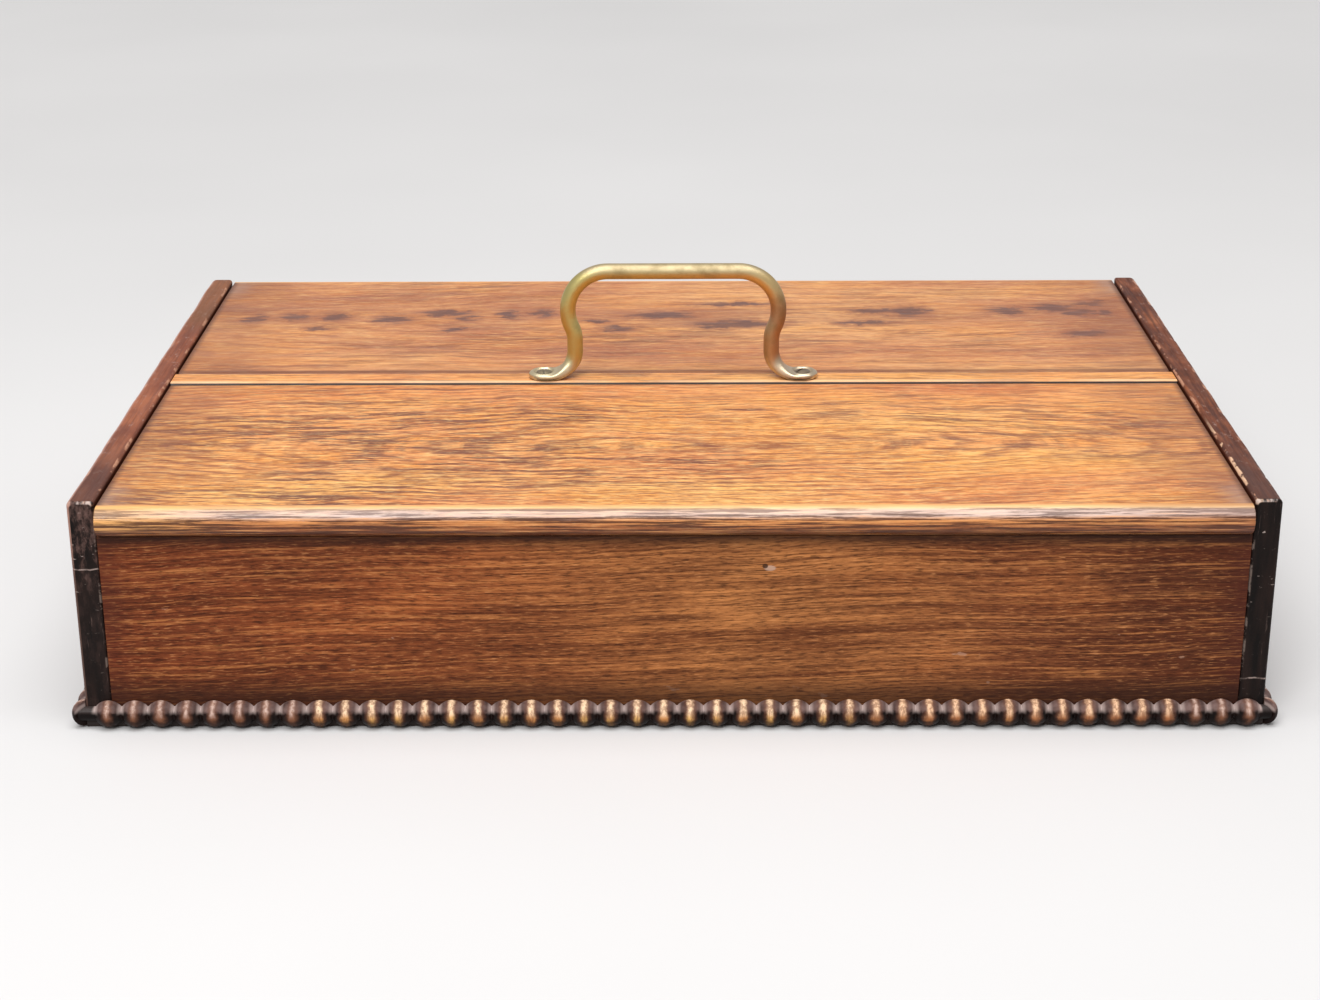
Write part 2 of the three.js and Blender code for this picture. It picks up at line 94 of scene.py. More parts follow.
# Bead moulding
BEAD_RADIUS = 5 * MM
NECK_RADIUS = 2.7 * MM
NECK_SHARE = 0.4 / 9.4  # of the pitch
BEAD_PITCH = 9.4 * MM
LONG_MARGIN = 2.6 * MM
LONG_SHIFT = 1 * MM
SHORT_MARGIN = -4.2 * MM  # the last bead of an end strip runs past its corner and is mitred
MITRE_GAP = 0.3 * MM
BEAD_RINGS = 12
BEAD_SIDES = 16
BEAD_SHRINK = 0.015  # most that a bead is smaller than its neighbours

# Bail handle
ROD_RADIUS = 3.175 * MM
BAIL_RISE = 43.7 * MM
BAR_HALF = 25.7 * MM
SHOULDER_RADIUS = 16 * MM
SHOULDER_LEAN = math.radians(25)
WAIST_RADIUS = 12.5 * MM
ANKLE_RADIUS = 10 * MM
FOOT_THICKNESS = 2.4 * MM
FOOT_LIFT = 0.1 * MM
FOOT_FLAT = 2.6 * MM
FOOT_RADIUS = 6 * MM
FLATTENED = 8 * MM  # from the tip of a foot
ROUND_AGAIN = 21 * MM
ROD_STEP = 0.8 * MM
FOOT_STEP = 0.35 * MM
ROD_SIDES = 48
RIM_RADIUS = 4.7 * MM
RIM_WIDTH = 0.75 * MM
RIM_HEIGHT = 0.45 * MM
DISH_RADIUS = 3.5 * MM
DISH_DEPTH = 0.7 * MM
TIP_STEPS = 24
DENT_SHARE = 0.012  # of the rod's thickness
DENT_LENGTH = 9 * MM

# Places for the materials
LID_TOP = 84.5 * MM
NOSING_FOOT = 74.2 * MM
NOSING_HEIGHT = 10.3 * MM
RING_RIPPLE = 7 * MM  # how far the year rings ripple across a board
SCREW_X = 51.5 * MM  # from the middle to a screw of the handle
LEFT_SCRATCH = 61.9 * MM  # height of the scratch on the front edge of an end panel
RIGHT_SCRATCH = 19.3 * MM

# Marks, as (x, place across, half length, half width) in mm
DENT = (33.5, 60.8, 2.2, 1.1)  # in the front panel
DENT_HOLE = (31.8, 61.6, 1.1, 1.0)
KNOTS = (  # in the back lid
    (-181, 83, 5, 5), (-163, 86, 7, 5), (-146, 86, 6, 6), (-122, 82, 7, 6), (-99, 91, 10, 4),
    (-90, 82, 5, 4), (-70, 88, 4, 7), (-57, 90, 4, 6), (-152, 68, 5, 3), (-93, 67, 4, 3),
    (-32, 79, 5, 3), (-23, 68, 7, 4), (-5, 87, 15, 5), (25, 73, 17, 5), (27, 104, 18, 3),
    (101, 91, 8, 7), (86, 93, 9, 4), (80, 75, 12, 3), (146, 92, 8, 6), (166, 97, 9, 6),
    (184, 103, 5, 5), (177, 90, 5, 5), (188, 90, 4, 5), (175, 59, 9, 4),
)
KNOT_ROW = 87 * MM  # y of the line that the knots follow

# Oak, as three tones in sRGB from the darkest to the palest
GOLDEN = ((216, 128, 72), (240, 160, 90), (254, 188, 104))
RUSSET = ((176, 106, 70), (208, 138, 89), (230, 166, 107))

# Floor, light and camera
FLOOR_HALF = 12
FLOOR_DROP = 0.2 * MM  # below the foot of the box
WORLD_STRENGTH = 0.28
CAMERA_PLACE = (-0.0006, -0.9076, 0.3812)
CAMERA_TURN = (68.960, 0.215, 0.227)  # degrees
CAMERA_LENS = 65.02  # on a sensor 36 mm wide


# Meshes

def add_object(name, data):
    """A new object in the scene."""
    thing = bpy.data.objects.new(name, data)
    bpy.context.scene.collection.objects.link(thing)
    return thing


def smooth(mesh):
    """Shades a mesh smoothly, but for its sharp edges."""
    mesh.shade_smooth()
    mesh.set_sharp_from_angle(angle=SHARP_ANGLE)


def make(name, points, faces, shares=None):
    """A smooth mesh object, with one number a point for each named share."""
    mesh = bpy.data.meshes.new(name)
    mesh.from_pydata([tuple(p) for p in points], [], faces)
    for key, values in (shares or {}).items():
        mesh.attributes.new(key, "FLOAT", "POINT").data.foreach_set("value", values)
    smooth(mesh)
    return add_object(name, mesh)


def skin(rings):
    """Faces of a closed skin over rings of equally many points, capped at both ends."""
    sides = len(rings[0])
    last = (len(rings) - 1) * sides
    faces = [
        (start + k, start + (k + 1) % sides, start + sides + (k + 1) % sides, start + sides + k)
        for start in range(0, last, sides)
        for k in range(sides)
    ]
    return [*faces, tuple(reversed(range(sides))), tuple(range(last, last + sides))]


def flatten(rings):
    """The points of all the rings, in one list."""
    return [point for ring in rings for point in ring]


def settle(piece):
    """Applies the piece's modifiers."""
    graph = bpy.context.evaluated_depsgraph_get()
    mesh = bpy.data.meshes.new_from_object(piece.evaluated_get(graph))
    piece.modifiers.clear()
    piece.data = mesh


def carve(piece, cutter):
    """Takes the cutter out of the piece."""
    cut = piece.modifiers.new("cut", "BOOLEAN")
    cut.operation, cut.solver, cut.object = "DIFFERENCE", "EXACT", cutter
    settle(piece)
    smooth(piece.data)


def worn(radius, along, corner, seed):
    """The radius of an arris where it has worn and chipped."""
    place = Vector((along / WEAR_LENGTH, corner * 3.7, seed * 5.3))
    chip = noise.noise(Vector((along / CHIP_LENGTH, corner * 9.1, seed * 2.9))) - CHIP_THRESHOLD
    return radius * (1 + WEAR_SHARE * noise.noise(place)) + CHIP_DEPTH * max(0, chip)


def stations(low, high, end_radius):
    """(place, inset, arris share) of every section along a board, whose ends are rounded."""
    angles = [math.pi / 2 * i / END_ARC_STEPS for i in range(END_ARC_STEPS + 1)]
    ends = [
        (end_radius * (1 - math.cos(a)), end_radius * (1 - math.sin(a)), math.sin(2 * a))
        for a in angles
    ]
    inner_low, inner_high = low + end_radius, high - end_radius
    count = round((inner_high - inner_low) / STATION_STEP)
    middle = [(inner_low + (inner_high - inner_low) * i / count, 0, 0) for i in range(1, count)]
    return [
        *[(low + place, inset, share) for place, inset, share in ends],
        *middle,
        *[(high - place, inset, share) for place, inset, share in reversed(ends)],
    ]


def rounded_corner(quarter, corner, into, radius, steps, leads):
    """(b, c) points round one corner of a section, with a line of support on each flat beside it."""
    centre_b, centre_c = (place + side * radius for place, side in zip(corner, into))
    first = math.pi / 2 * quarter
    angles = [first + math.pi / 2 * step / steps for step in range(steps + 1)]
    arc = [(centre_b + radius * math.cos(a), centre_c + radius * math.sin(a)) for a in angles]
    (b_start, c_start), (b_end, c_end) = arc[0], arc[-1]
    before = (b_start + leads[0] * math.sin(angles[0]), c_start - leads[0] * math.cos(angles[0]))
    after = (b_end - leads[1] * math.sin(angles[-1]), c_end + leads[1] * math.cos(angles[-1]))
    return [before, *arc, after]


def section(b_ends, c_ends, radii, counts):
    """(b, c, how far into its arris from 0 to 1 and back) of each point round a board's section."""
    (b0, b1), (c0, c1) = b_ends, c_ends
    corners = [(b1, c0), (b1, c1), (b0, c1), (b0, c0)]
    inward = [(-1, 1), (-1, -1), (1, -1), (1, 1)]
    sides = (b1 - b0, c1 - c0) * 2
    flats = [side - radii[k - 1] - radii[k] for k, side in enumerate(sides)]
    leads = [min(SUPPORT, LEAD_LIMIT * flat) for flat in flats]
    points = []
    for k, steps in enumerate(counts):
        beside = (leads[k], leads[(k + 1) % 4])
        outline = rounded_corner(k - 1, corners[k], inward[k], radii[k], steps, beside)
        for j, (b, c) in enumerate(outline):
            into = min(max((j - 1) / steps, 0), 1)
            points.append((b, c, math.sin(math.pi * into)))
    return points


def board(name, low, high, along, radii, end_radius, seed=None):
    """A board with rounded arrises, its length along one axis. With a seed they are also worn.

    The four radii go round the section, from the low end of the third axis at the high end
    of the second.
    """
    second, third = (along + 1) % 3, (along + 2) % 3
    counts = [max(4, round(math.pi / 2 * radius / ARC_STEP)) for radius in radii]
    rings, arris = [], []
    for place, inset, end_share in stations(low[along], high[along], end_radius):
        b_ends = (low[second] + inset, high[second] - inset)
        c_ends = (low[third] + inset, high[third] - inset)
        limit = CORNER_LIMIT * min(b_ends[1] - b_ends[0], c_ends[1] - c_ends[0])
        bent = [min(worn(r, place, k, seed) if seed else r, limit) for k, r in enumerate(radii)]
        ring = []
        for b, c, rounding in section(b_ends, c_ends, bent, counts):
            point = Vector((0, 0, 0))
            point[along], point[second], point[third] = place, b, c
            ring.append(point)
            arris.append(max(rounding * (1 - inset / end_radius), end_share))
        rings.append(ring)
    return make(name, flatten(rings), skin(rings), {"arris": arris})


def facing(inward):
    """The turn of a fastener whose shank runs that way."""
    return Vector((0, 0, 1)).rotation_difference(Vector(inward)).to_matrix()


def turned(name, profile, place, inward):
    """A turned solid: (radius, depth) points from the middle of its head to its tip."""
    turn = facing(inward)
    points, faces, ring_starts = [], [], []
    for radius, depth in profile:
        ring_starts.append(len(points))
        sides = 1 if radius == 0 else TURNED_SIDES
        for k in range(sides):
            angle = 2 * math.pi * k / TURNED_SIDES
            local = Vector((radius * math.cos(angle), -radius * math.sin(angle), depth))
            points.append(Vector(place) + turn @ local)
    for i in range(len(profile) - 1):
        a, b = ring_starts[i], ring_starts[i + 1]
        for k in range(TURNED_SIDES):
            n = (k + 1) % TURNED_SIDES
            if profile[i][0] == 0:
                faces.append((a, b + k, b + n))
            elif profile[i + 1][0] == 0:
                faces.append((a + n, a + k, b))
            else:
                faces.append((a + n, a + k, b + k, b + n))
    return make(name, points, faces)


def dome(radius, height, steps=4):
    """Profile points of a domed head of that height, from its middle to its rim."""
    curve = (radius**2 + height**2) / (2 * height)
    radii = [radius * i / steps for i in range(steps + 1)]
    return [(r, curve - math.sqrt(curve**2 - r**2)) for r in radii]


def joined(name, pieces):
    """One object made of several, which are removed."""
    points, faces = [], []
    for piece in pieces:
        start = len(points)
        points += [vertex.co.copy() for vertex in piece.data.vertices]
        faces += [tuple(start + v for v in face.vertices) for face in piece.data.polygons]
        bpy.data.objects.remove(piece)
    return make(name, points, faces)


def cut_slot(screw, place, inward, turn):
    """Cuts the slot of a screw across its head."""
    half = SLOT_WIDTH / 2
    spin = Matrix.Rotation(math.radians(turn), 3, "Z")
    corners = [
        Vector(place) + facing(inward) @ (spin @ Vector((x, y, z)))
        for x in (-SLOT_REACH, SLOT_REACH)
        for y in (-half, half)
        for z in (-SLOT_REACH, SLOT_DEPTH)
    ]
    faces = [(0, 1, 3, 2), (4, 6, 7, 5), (0, 4, 5, 1), (2, 3, 7, 6), (0, 2, 6, 4), (1, 5, 7, 3)]
    cutter = make("slot_cutter", corners, faces)
    carve(screw, cutter)
    bpy.data.objects.remove(cutter)


# Fasteners

PROFILES = {  # (radius, depth below the head) in mm, from the middle of the head to the tip
    "nail": [(0, 0.05), (0.9, 0.02), (1.2, 0.1), (1.3, 0.3), (1.3, 1), (0.8, 1), (0.8, 23), (0, 25)],
    "base_screw": [(0, 0), (2.9, 0), (3, 0.1), (1.5, 1.8), (1.5, 19), (0, 22)],
    "handle_screw": [*dome(3, 0.8), (1.5, 2.3), (1.5, 18.8), (0, 21.8)],
    "pin": [*dome(1.3, 0.12), (1.5, 0.3), (1.5, 22), (1.3, 22.2), (0, 22.2)],
}


def fastener_kind(node):
    """Which profile a CAD node has, or None where it is no fastener."""
    return next((kind for kind in PROFILES if kind in node), None)


def fastener_profile(node):
    return [(r * MM, d * MM) for r, d in PROFILES[fastener_kind(node)]]


def fastener_head(node):
    """Where the head of a CAD fastener is, and which way its shank runs."""
    low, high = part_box(node)
    middle = (low + high) / 2
    if "base_screw" in node:
        return Vector((middle.x, middle.y, low.z)), (0, 0, 1)
    if "handle_screw" in node:
        return Vector((middle.x, middle.y, high.z)), (0, 0, -1)
    if middle.x > 0:
        return Vector((high.x, middle.y, middle.z)), (-1, 0, 0)
    return Vector((low.x, middle.y, middle.z)), (1, 0, 0)


def bore(node):
    """The hole that a fastener goes in."""
    place, inward = fastener_head(node)
    profile = fastener_profile(node)
    head = max(r for r, d in profile) + HOLE_GAP
    body = [(r + HOLE_GAP, d) for r, d in profile if r > 0 and d > 0.25 * MM]
    end = profile[-1][1] + HOLE_GAP
    points = [(0, -HOLE_OPENING), (head, -HOLE_OPENING), *body, (body[-1][0], end), (0, end)]
    return turned("bore", points, place, inward)


def add_fasteners(nodes):
    """Smooth nails, screws and pins where the CAD ones are."""
    for i, node in enumerate(nodes):
        kind = fastener_kind(node)
        place, inward = fastener_head(node)
        piece = turned(f"{node}_dressed", fastener_profile(node), place, inward)
        if "screw" in kind:
            cut_slot(piece, place, inward, turn=FIRST_SLOT_TURN + NEXT_SLOT_TURN * i)
        finish(piece, node, "aged_brass" if kind in ("pin", "handle_screw") else "steel")


def finish(piece, node, slot, paint=None):
    """Gives the piece its material, and puts it in the place of the CAD node."""
    piece.data.materials.clear()
    piece.data.materials.append(PAINTS[paint or slot])
    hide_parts(node)
    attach(piece, frame["nodes"][node]["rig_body"])


# Bead moulding

def bead_profile(length, margin, shift, seed):
    """(place, radius, share along its bead, bead number) along a strip."""
    run = length - 2 * margin
    count = round(run / BEAD_PITCH)
    pitch = run / count
    half = pitch * (1 - NECK_SHARE) / 2
    rows = []
    for i in range(count):
        shrink = BEAD_SHRINK * (0.5 + 0.5 * noise.noise(Vector((i * 1.37, seed * 3.1, 0.5))))
        rise = BEAD_RADIUS * (1 - shrink) - NECK_RADIUS
        curve = (half**2 + rise**2) / (2 * rise)
        middle = (i + 0.5) * pitch - run / 2 + shift
        for step in range(BEAD_RINGS + 1):
            share = -math.cos(math.pi * step / BEAD_RINGS)
            along = half * share
            radius = NECK_RADIUS + rise - curve + math.sqrt(curve**2 - along**2)
            rows.append((middle + along, radius, share, i / count))
    return rows


def bead_strip(node, turn, length, margin, shift, out, seed):
    """One side of the moulding, half of a turned string of beads, mitred at both ends."""
    middle_z = sum(p.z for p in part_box(node)) / 2
    spin = Matrix.Rotation(turn, 3, "Z")
    corner = length / 2 - MITRE_GAP
    rings, shares, numbers = [], [], []

    def ring(place, radius, share, number):
        points = []
        for k in range(BEAD_SIDES + 1):
            angle = math.pi * k / BEAD_SIDES
            stands = radius * math.sin(angle)
            along = min(max(place, -corner - stands), corner + stands)
            local = Vector((along, -out - stands, radius * math.cos(angle)))
            points.append(spin @ local + Vector((0, 0, middle_z)))
            shares.append(abs(share))
            numbers.append(number)
        rings.append(points)

    if margin > 0:
        ring(-length, NECK_RADIUS, -2, 0)
    for row in bead_profile(length, margin, shift, seed):
        ring(*row)
    if margin > 0:
        ring(length, NECK_RADIUS, 2, 1)
    return make(f"{node}_turned", flatten(rings), skin(rings), {"bead": shares, "number": numbers})


# Bail handle

def leg_path():
    """(x, z, heading, length so far) from the middle of the bar to the tip of a foot."""
    x, z, heading, length = 0.0, BAIL_RISE, 0.0, 0.0
    path = [(x, z, heading, length)]

    def straight(run, step):
        nonlocal x, z, length
        count = max(1, round(run / step))
        for _ in range(count):
            x += run / count * math.cos(heading)
            z += run / count * math.sin(heading)
            length += run / count
            path.append((x, z, heading, length))

    def bend(radius, turn, step):
        nonlocal x, z, heading, length
        count = max(2, round(radius * abs(turn) / step))
        side = math.copysign(1, turn)
        cx, cz = x - side * radius * math.sin(heading), z + side * radius * math.cos(heading)
        for _ in range(count):
            heading += turn / count
            x, z = cx + side * radius * math.sin(heading), cz - side * radius * math.cos(heading)
            length += radius * abs(turn) / count
            path.append((x, z, heading, length))

    foot_middle = FOOT_THICKNESS / 2 + FOOT_LIFT
    drop = SHOULDER_RADIUS + (SHOULDER_RADIUS + WAIST_RADIUS) * math.sin(SHOULDER_LEAN) + ANKLE_RADIUS
    straight(BAR_HALF, ROD_STEP)
    bend(SHOULDER_RADIUS, -math.pi / 2 - SHOULDER_LEAN, ROD_STEP)
    bend(WAIST_RADIUS, SHOULDER_LEAN, ROD_STEP)
    straight(BAIL_RISE - foot_middle - drop, ROD_STEP)
    bend(ANKLE_RADIUS, math.pi / 2, FOOT_STEP)
    straight(FOOT_FLAT, FOOT_STEP)
    start = x
    for i in range(1, TIP_STEPS + 1):
        reached = FOOT_RADIUS * math.sin(math.pi / 2 * i / TIP_STEPS)
        path.append((start + reached, z, heading, length + reached))
    return path


def smoothstep(value, low, high):
    """A smooth change from 0 to 1 over a range."""
    share = min(max((value - low) / (high - low), 0), 1)
    return share * share * (3 - 2 * share)


def foot_relief(distance):
    """Height of the raised rim and the dish round the screw, at a distance from its middle."""
    rim = RIM_HEIGHT * math.exp(-(((distance - RIM_RADIUS) / RIM_WIDTH) ** 2))
    return rim - DISH_DEPTH * (1 - smoothstep(distance, DISH_RADIUS, RIM_RADIUS - RIM_WIDTH / 2))


def rod_ring(station, tip_length, screw_x):
    """The rod's outline at a station: round on the legs, wide, flat and dished on the feet."""
    x, z, heading, length = station
    from_tip = tip_length - length
    flatness = 1 - smoothstep(from_tip, FLATTENED, ROUND_AGAIN)
    into_tip = min(max(0, FOOT_RADIUS - from_tip) / FOOT_RADIUS, 0.9995)
    half = (ROD_RADIUS + (FOOT_RADIUS - ROD_RADIUS) * flatness) * math.sqrt(1 - into_tip**2)
    power = 2 + 3 * flatness
    thick = ROD_RADIUS + (FOOT_THICKNESS / 2 - ROD_RADIUS) * flatness
    thick *= (1 - into_tip**4) ** 0.25
    dent = 1 - DENT_SHARE * (1 + noise.noise(Vector((length / DENT_LENGTH, 3.1, 0.7))))
    points = []
    for k in range(ROD_SIDES):
        angle = 2 * math.pi * k / ROD_SIDES
        across = math.cos(angle)
        up = thick * (1 - abs(across) ** power) ** (1 / power) * math.copysign(1, math.sin(angle))
        if math.sin(angle) > 0.01:
            from_screw = math.hypot(x - screw_x, half * across)
            up += flatness * foot_relief(from_screw) * (1 - into_tip**8)
        up *= dent
        side = half * dent * across
        points.append(Vector((x - up * math.sin(heading), side, z + up * math.cos(heading))))
    return points


def bail(rail_top):
    """The handle: one rod from foot to foot."""
    path = leg_path()
    tip = path[-1][3]
    screw_x = path[-1][0] - FOOT_RADIUS
    right = [rod_ring(station, tip, screw_x) for station in path]
    left = [[Vector((-p.x, p.y, p.z)) for p in ring] for ring in reversed(right[1:])]
    rings = [[p + Vector((0, 0, rail_top)) for p in ring] for ring in [*left, *right]]
    return make("handle_bail", flatten(rings), skin(rings))


# Materials

def rgb(red, green, blue):
    """A colour from its sRGB numbers, 0 to 255."""
    def linear(value):
        value /= 255
        return value / 12.92 if value <= 0.04045 else ((value + 0.055) / 1.055) ** 2.4
    return (linear(red), linear(green), linear(blue), 1)


class Paint:
    """A material under construction, whose colour is built up in layers.

    Its place is a point's position in metres.
    """

    def __init__(self, name, metallic=0.0, coat=0.0, coat_roughness=0.2, gloss=0.5):
        self.material = bpy.data.materials.new(name)
        self.material.use_nodes = True
        self.nodes = self.material.node_tree.nodes
        self.links = self.material.node_tree.links
        self.shader = self.nodes["Principled BSDF"]
        self.fill(self.shader, {
            "Metallic": metallic, "Specular IOR Level": gloss,
            "Coat Weight": coat, "Coat Roughness": coat_roughness,
        })
        self.place = self.nodes.new("ShaderNodeTexCoord").outputs["Object"]
        self.x, self.y, self.z = self.node("SeparateXYZ", {0: self.place}).outputs
        self.colour = None

    def fill(self, node, inputs):
        """Links values to a node's inputs, or sets plain numbers and colours on them."""
        for key, value in inputs.items():
            if isinstance(value, bpy.types.NodeSocket):
                self.links.new(value, node.inputs[key])
            else:
                node.inputs[key].default_value = value

    def node(self, kind, inputs, **settings):
        """A new shader node with its settings and inputs."""
        node = self.nodes.new("ShaderNode" + kind)
        for key, value in settings.items():
            setattr(node, key, value)
        self.fill(node, inputs)
        return node

    def math(self, operation, first, second=0.0):
        return self.node("Math", {0: first, 1: second}, operation=operation).outputs[0]

    def plus(self, first, second):
        return self.math("ADD", first, second)

    def minus(self, first, second):
        return self.math("SUBTRACT", first, second)

    def product(self, *values):
        result = values[0]
        for value in values[1:]:
            result = self.math("MULTIPLY", result, value)
        return result

    def larger(self, first, second):
        return self.math("MAXIMUM", first, second)

    def size(self, value):
        """The value without its sign."""
        return self.math("ABSOLUTE", value)

    def diagonal(self, first, second):
        squares = self.plus(self.product(first, first), self.product(second, second))
        return self.math("SQRT", squares)

    def attribute(self, name):
        return self.node("Attribute", {}, attribute_name=name).outputs["Fac"]

    def vector(self, x, y, z):
        return self.node("CombineXYZ", {0: x, 1: y, 2: z}).outputs[0]

    def mapped(self, place, scale, location):
        mapping = {"Vector": place, "Scale": scale, "Location": location}
        return self.node("Mapping", mapping).outputs[0]

    def noise(self, per_metre, seed, detail=3.0, roughness=0.5, distortion=0.0, place=None):
        """Noise from 0 to 1 that changes so many times a metre along each axis."""
        start = (seed * 3.7, seed * 1.9, seed * 5.3)
        return self.node("TexNoise", {
            "Vector": self.mapped(place or self.place, per_metre, start),
            "Scale": 1, "Detail": detail, "Roughness": roughness, "Distortion": distortion,
        }).outputs["Fac"]

    def swing(self, per_metre, seed, **more):
        """The same noise, about zero."""
        return self.minus(self.noise(per_metre, seed, **more), 0.5)

    def step(self, value, low, high, to_low=0.0, to_high=1.0):
        """A smooth change from one value to another over a range."""
        return self.node("MapRange", {
            "Value": value, "From Min": low, "From Max": high, "To Min": to_low, "To Max": to_high,
        }, interpolation_type="SMOOTHSTEP").outputs["Result"]

    def span(self, place, low, high, to_low=0.0, to_high=1.0):
        """The same over a range of places, given in mm."""
        return self.step(place, low * MM, high * MM, to_low, to_high)

    def ramp(self, value, *stops):
        """A colour that goes through (value, red, green, blue) stops."""
        node = self.node("ValToRGB", {0: value})
        elements = node.color_ramp.elements
        while len(elements) < len(stops):
            elements.new(0.5)
        for element, (position, *tone) in zip(elements, stops):
            element.position, element.color = position, rgb(*tone)
        return node.outputs[0]

    def mix(self, share, first, second):
        """The first colour, and the second one where the share is 1."""
        return self.node("Mix", {"Factor": share, 6: first, 7: second}, data_type="RGBA").outputs[2]

    def lay(self, tone, *shares):
        """Lays an sRGB tone over the colour, as far as the product of the shares goes."""
        self.colour = self.mix(self.product(*shares), self.colour, rgb(*tone))

    def cover(self, share, layers, *more):
        """Covers the colour with the one that a function makes, where the share is 1."""
        below = self.colour
        layers(self, *more)
        self.colour = self.mix(share, below, self.colour)

    def far(self, place, x, y, half_length, half_width):
        """How far a place is from the middle of an ellipse in mm, with 1 on its outline."""
        scale = (1 / (half_length * MM), 1 / (half_width * MM), 0)
        mapped = self.mapped(place, scale, (-x / half_length, -y / half_width, 0))
        return self.node("VectorMath", {0: mapped}, operation="LENGTH").outputs["Value"]

    def bump(self, height, distance):
        bump = self.node("Bump", {"Height": height, "Distance": distance}).outputs[0]
        self.fill(self.shader, {"Normal": bump, "Coat Normal": bump})

    def done(self, roughness):
        """The finished material."""
        self.fill(self.shader, {"Base Color": self.colour, "Roughness": roughness})
        return self.material


# Oak of the lids and the rail

def trunk_place(p, side, middle, depth, bow, centre, sway, seed):
    """A point's place across the board, and its distance from the heart of the tree.

    The heart runs along the middle of the board's figure, at a depth that grows towards both ends.
    """
    wander = p.swing((7, 10, 10), seed, detail=2, roughness=0.4)
    lift = p.swing((11, 20, 20), seed + 1, detail=2)
    ripple = p.swing((28, 34, 34), seed + 12, detail=2)
    shift = p.plus(p.product(wander, sway), p.product(ripple, RING_RIPPLE))
    across = p.plus(p.minus(p.y, side * middle), shift)
    from_centre = p.minus(p.x, centre)
    below = p.plus(p.product(from_centre, from_centre, bow), depth)
    below = p.plus(below, p.product(lift, sway, 0.6))
    below = p.plus(below, p.minus(LID_TOP, p.z))
    return across, p.diagonal(across, below)


def oak_ground(p, tones, grain, fibres, strength, seed):
    """Broad patches of three tones, with amber streaks and pale fibres."""
    patches = p.noise((7, 26, 26), seed + 2, place=grain)
    stops = [(value, *tone) for value, tone in zip((0.3, 0.5, 0.7), tones)]
    p.colour = p.ramp(patches, *stops)
    amber = p.noise((18, 64, 64), seed + 13, place=grain)
    p.lay((238, 156, 62), p.step(amber, 0.42, 0.64, 0, 0.55), strength)
    p.lay((255, 212, 140), p.step(fibres, 0.48, 0.34, 0, 0.75), strength)


def ring_lines(p, out, spacing, grain, strength, seed):
    """Where the dark lines of the year rings are, broken along the fibres."""
    shake = p.product(p.noise((26, 140, 140), seed + 9, place=grain), 0.9)
    share = p.math("FRACT", p.plus(p.math("DIVIDE", out, spacing), shake))
    lines = p.product(p.step(share, 0.0, 0.15), p.step(share, 0.18, 0.62, 1, 0))
    patches = p.step(p.noise((10, 36, 36), seed + 3, detail=2), 0.36, 0.6, 0.45, 1)
    broken = p.step(p.noise((90, 700, 700), seed + 4, place=grain), 0.36, 0.56, 0.3, 1)
    return p.product(lines, patches, broken, strength)


def oak_flecks(p, grain, trunk, fibres, blotch, strength, seed):
    """Brown threads, and dashes and dark flecks on some parts of the board."""
    p.lay((146, 82, 48), p.step(fibres, 0.5, 0.64, 0, 0.8), strength)
    where = p.step(p.noise((6, 14, 14), seed + 8, detail=2), 0.36, 0.56, 0.15, 1)
    dashes = p.noise((34, 380, 380), seed + 7, roughness=0.6, place=grain)
    p.lay((104, 54, 40), p.step(dashes, 0.54, 0.60), where, strength, 0.9)
    flecks = p.noise(blotch, seed + 6, detail=4, roughness=0.6, distortion=0.2, place=trunk)
    fine = p.step(p.noise((70, 950, 950), seed + 10, place=grain), 0.40, 0.56, 0.25, 1)
    p.lay((100, 52, 40), p.step(flecks, 0.50, 0.62), where, fine, strength, 0.85)


def oak_pores(p, grain, strength, seed):
    """Short dark pores with pale wood between them."""
    pores = p.noise((210, 1900, 1900), seed + 11, roughness=0.6, place=grain)
    p.lay((138, 78, 44), p.step(pores, 0.5, 0.62, 0, 0.6), strength)
    p.lay((255, 214, 146), p.step(pores, 0.46, 0.34, 0, 0.5), strength)


def oak_colour(p, tones, strength, blotch, spacing, seed, **figure):
    """Lays old polished oak, and gives its relief."""
    across, out = trunk_place(p, seed=seed, **figure)
    grain = p.vector(p.x, across, p.z)
    trunk = p.vector(p.x, out, p.z)
    fibres = p.noise((66, 900, 900), seed + 5, detail=4, roughness=0.66, place=grain)
    lines = ring_lines(p, out, spacing, grain, strength, seed)
    oak_ground(p, tones, grain, fibres, strength, seed)
    p.lay((138, 74, 48), lines, 0.95)
    oak_flecks(p, grain, trunk, fibres, blotch, strength, seed)
    oak_pores(p, grain, strength, seed)
    return p.minus(p.product(fibres, -0.8), p.product(lines, 0.6))


def painted_seam_shade(p):
    """Painted shade in the seams: black in the gap in front of the rail, and a brown line behind it.
    """
    near = p.span(p.size(p.y), 9.7, 8.5)
    low = p.step(p.z, LID_TOP + 0.1 * MM, LID_TOP - 0.2 * MM)
    front = p.span(p.y, 2, 0)
    p.lay((40, 22, 15), near, low, front)
    p.lay((92, 52, 40), p.span(p.y, 6.6, 7.0), p.span(p.y, 11.8, 8.6), 0.7)


def nosing_tones_with_painted_light(p):
    """The nosing from its foot to its top: red-brown darkening into painted shade at its foot,
    golden, then a painted grey sheen and a painted highlight on its crown.
    """
    height = p.math("DIVIDE", p.minus(p.z, NOSING_FOOT), NOSING_HEIGHT)
    return p.ramp(
        height,
        (0.0, 56, 27, 14), (0.13, 96, 48, 24), (0.37, 158, 88, 44),
        (0.60, 212, 140, 82), (0.68, 204, 156, 126), (0.76, 218, 194, 184),
        (0.91, 222, 194, 178), (0.955, 255, 214, 160), (1.0, 240, 176, 112),
    )


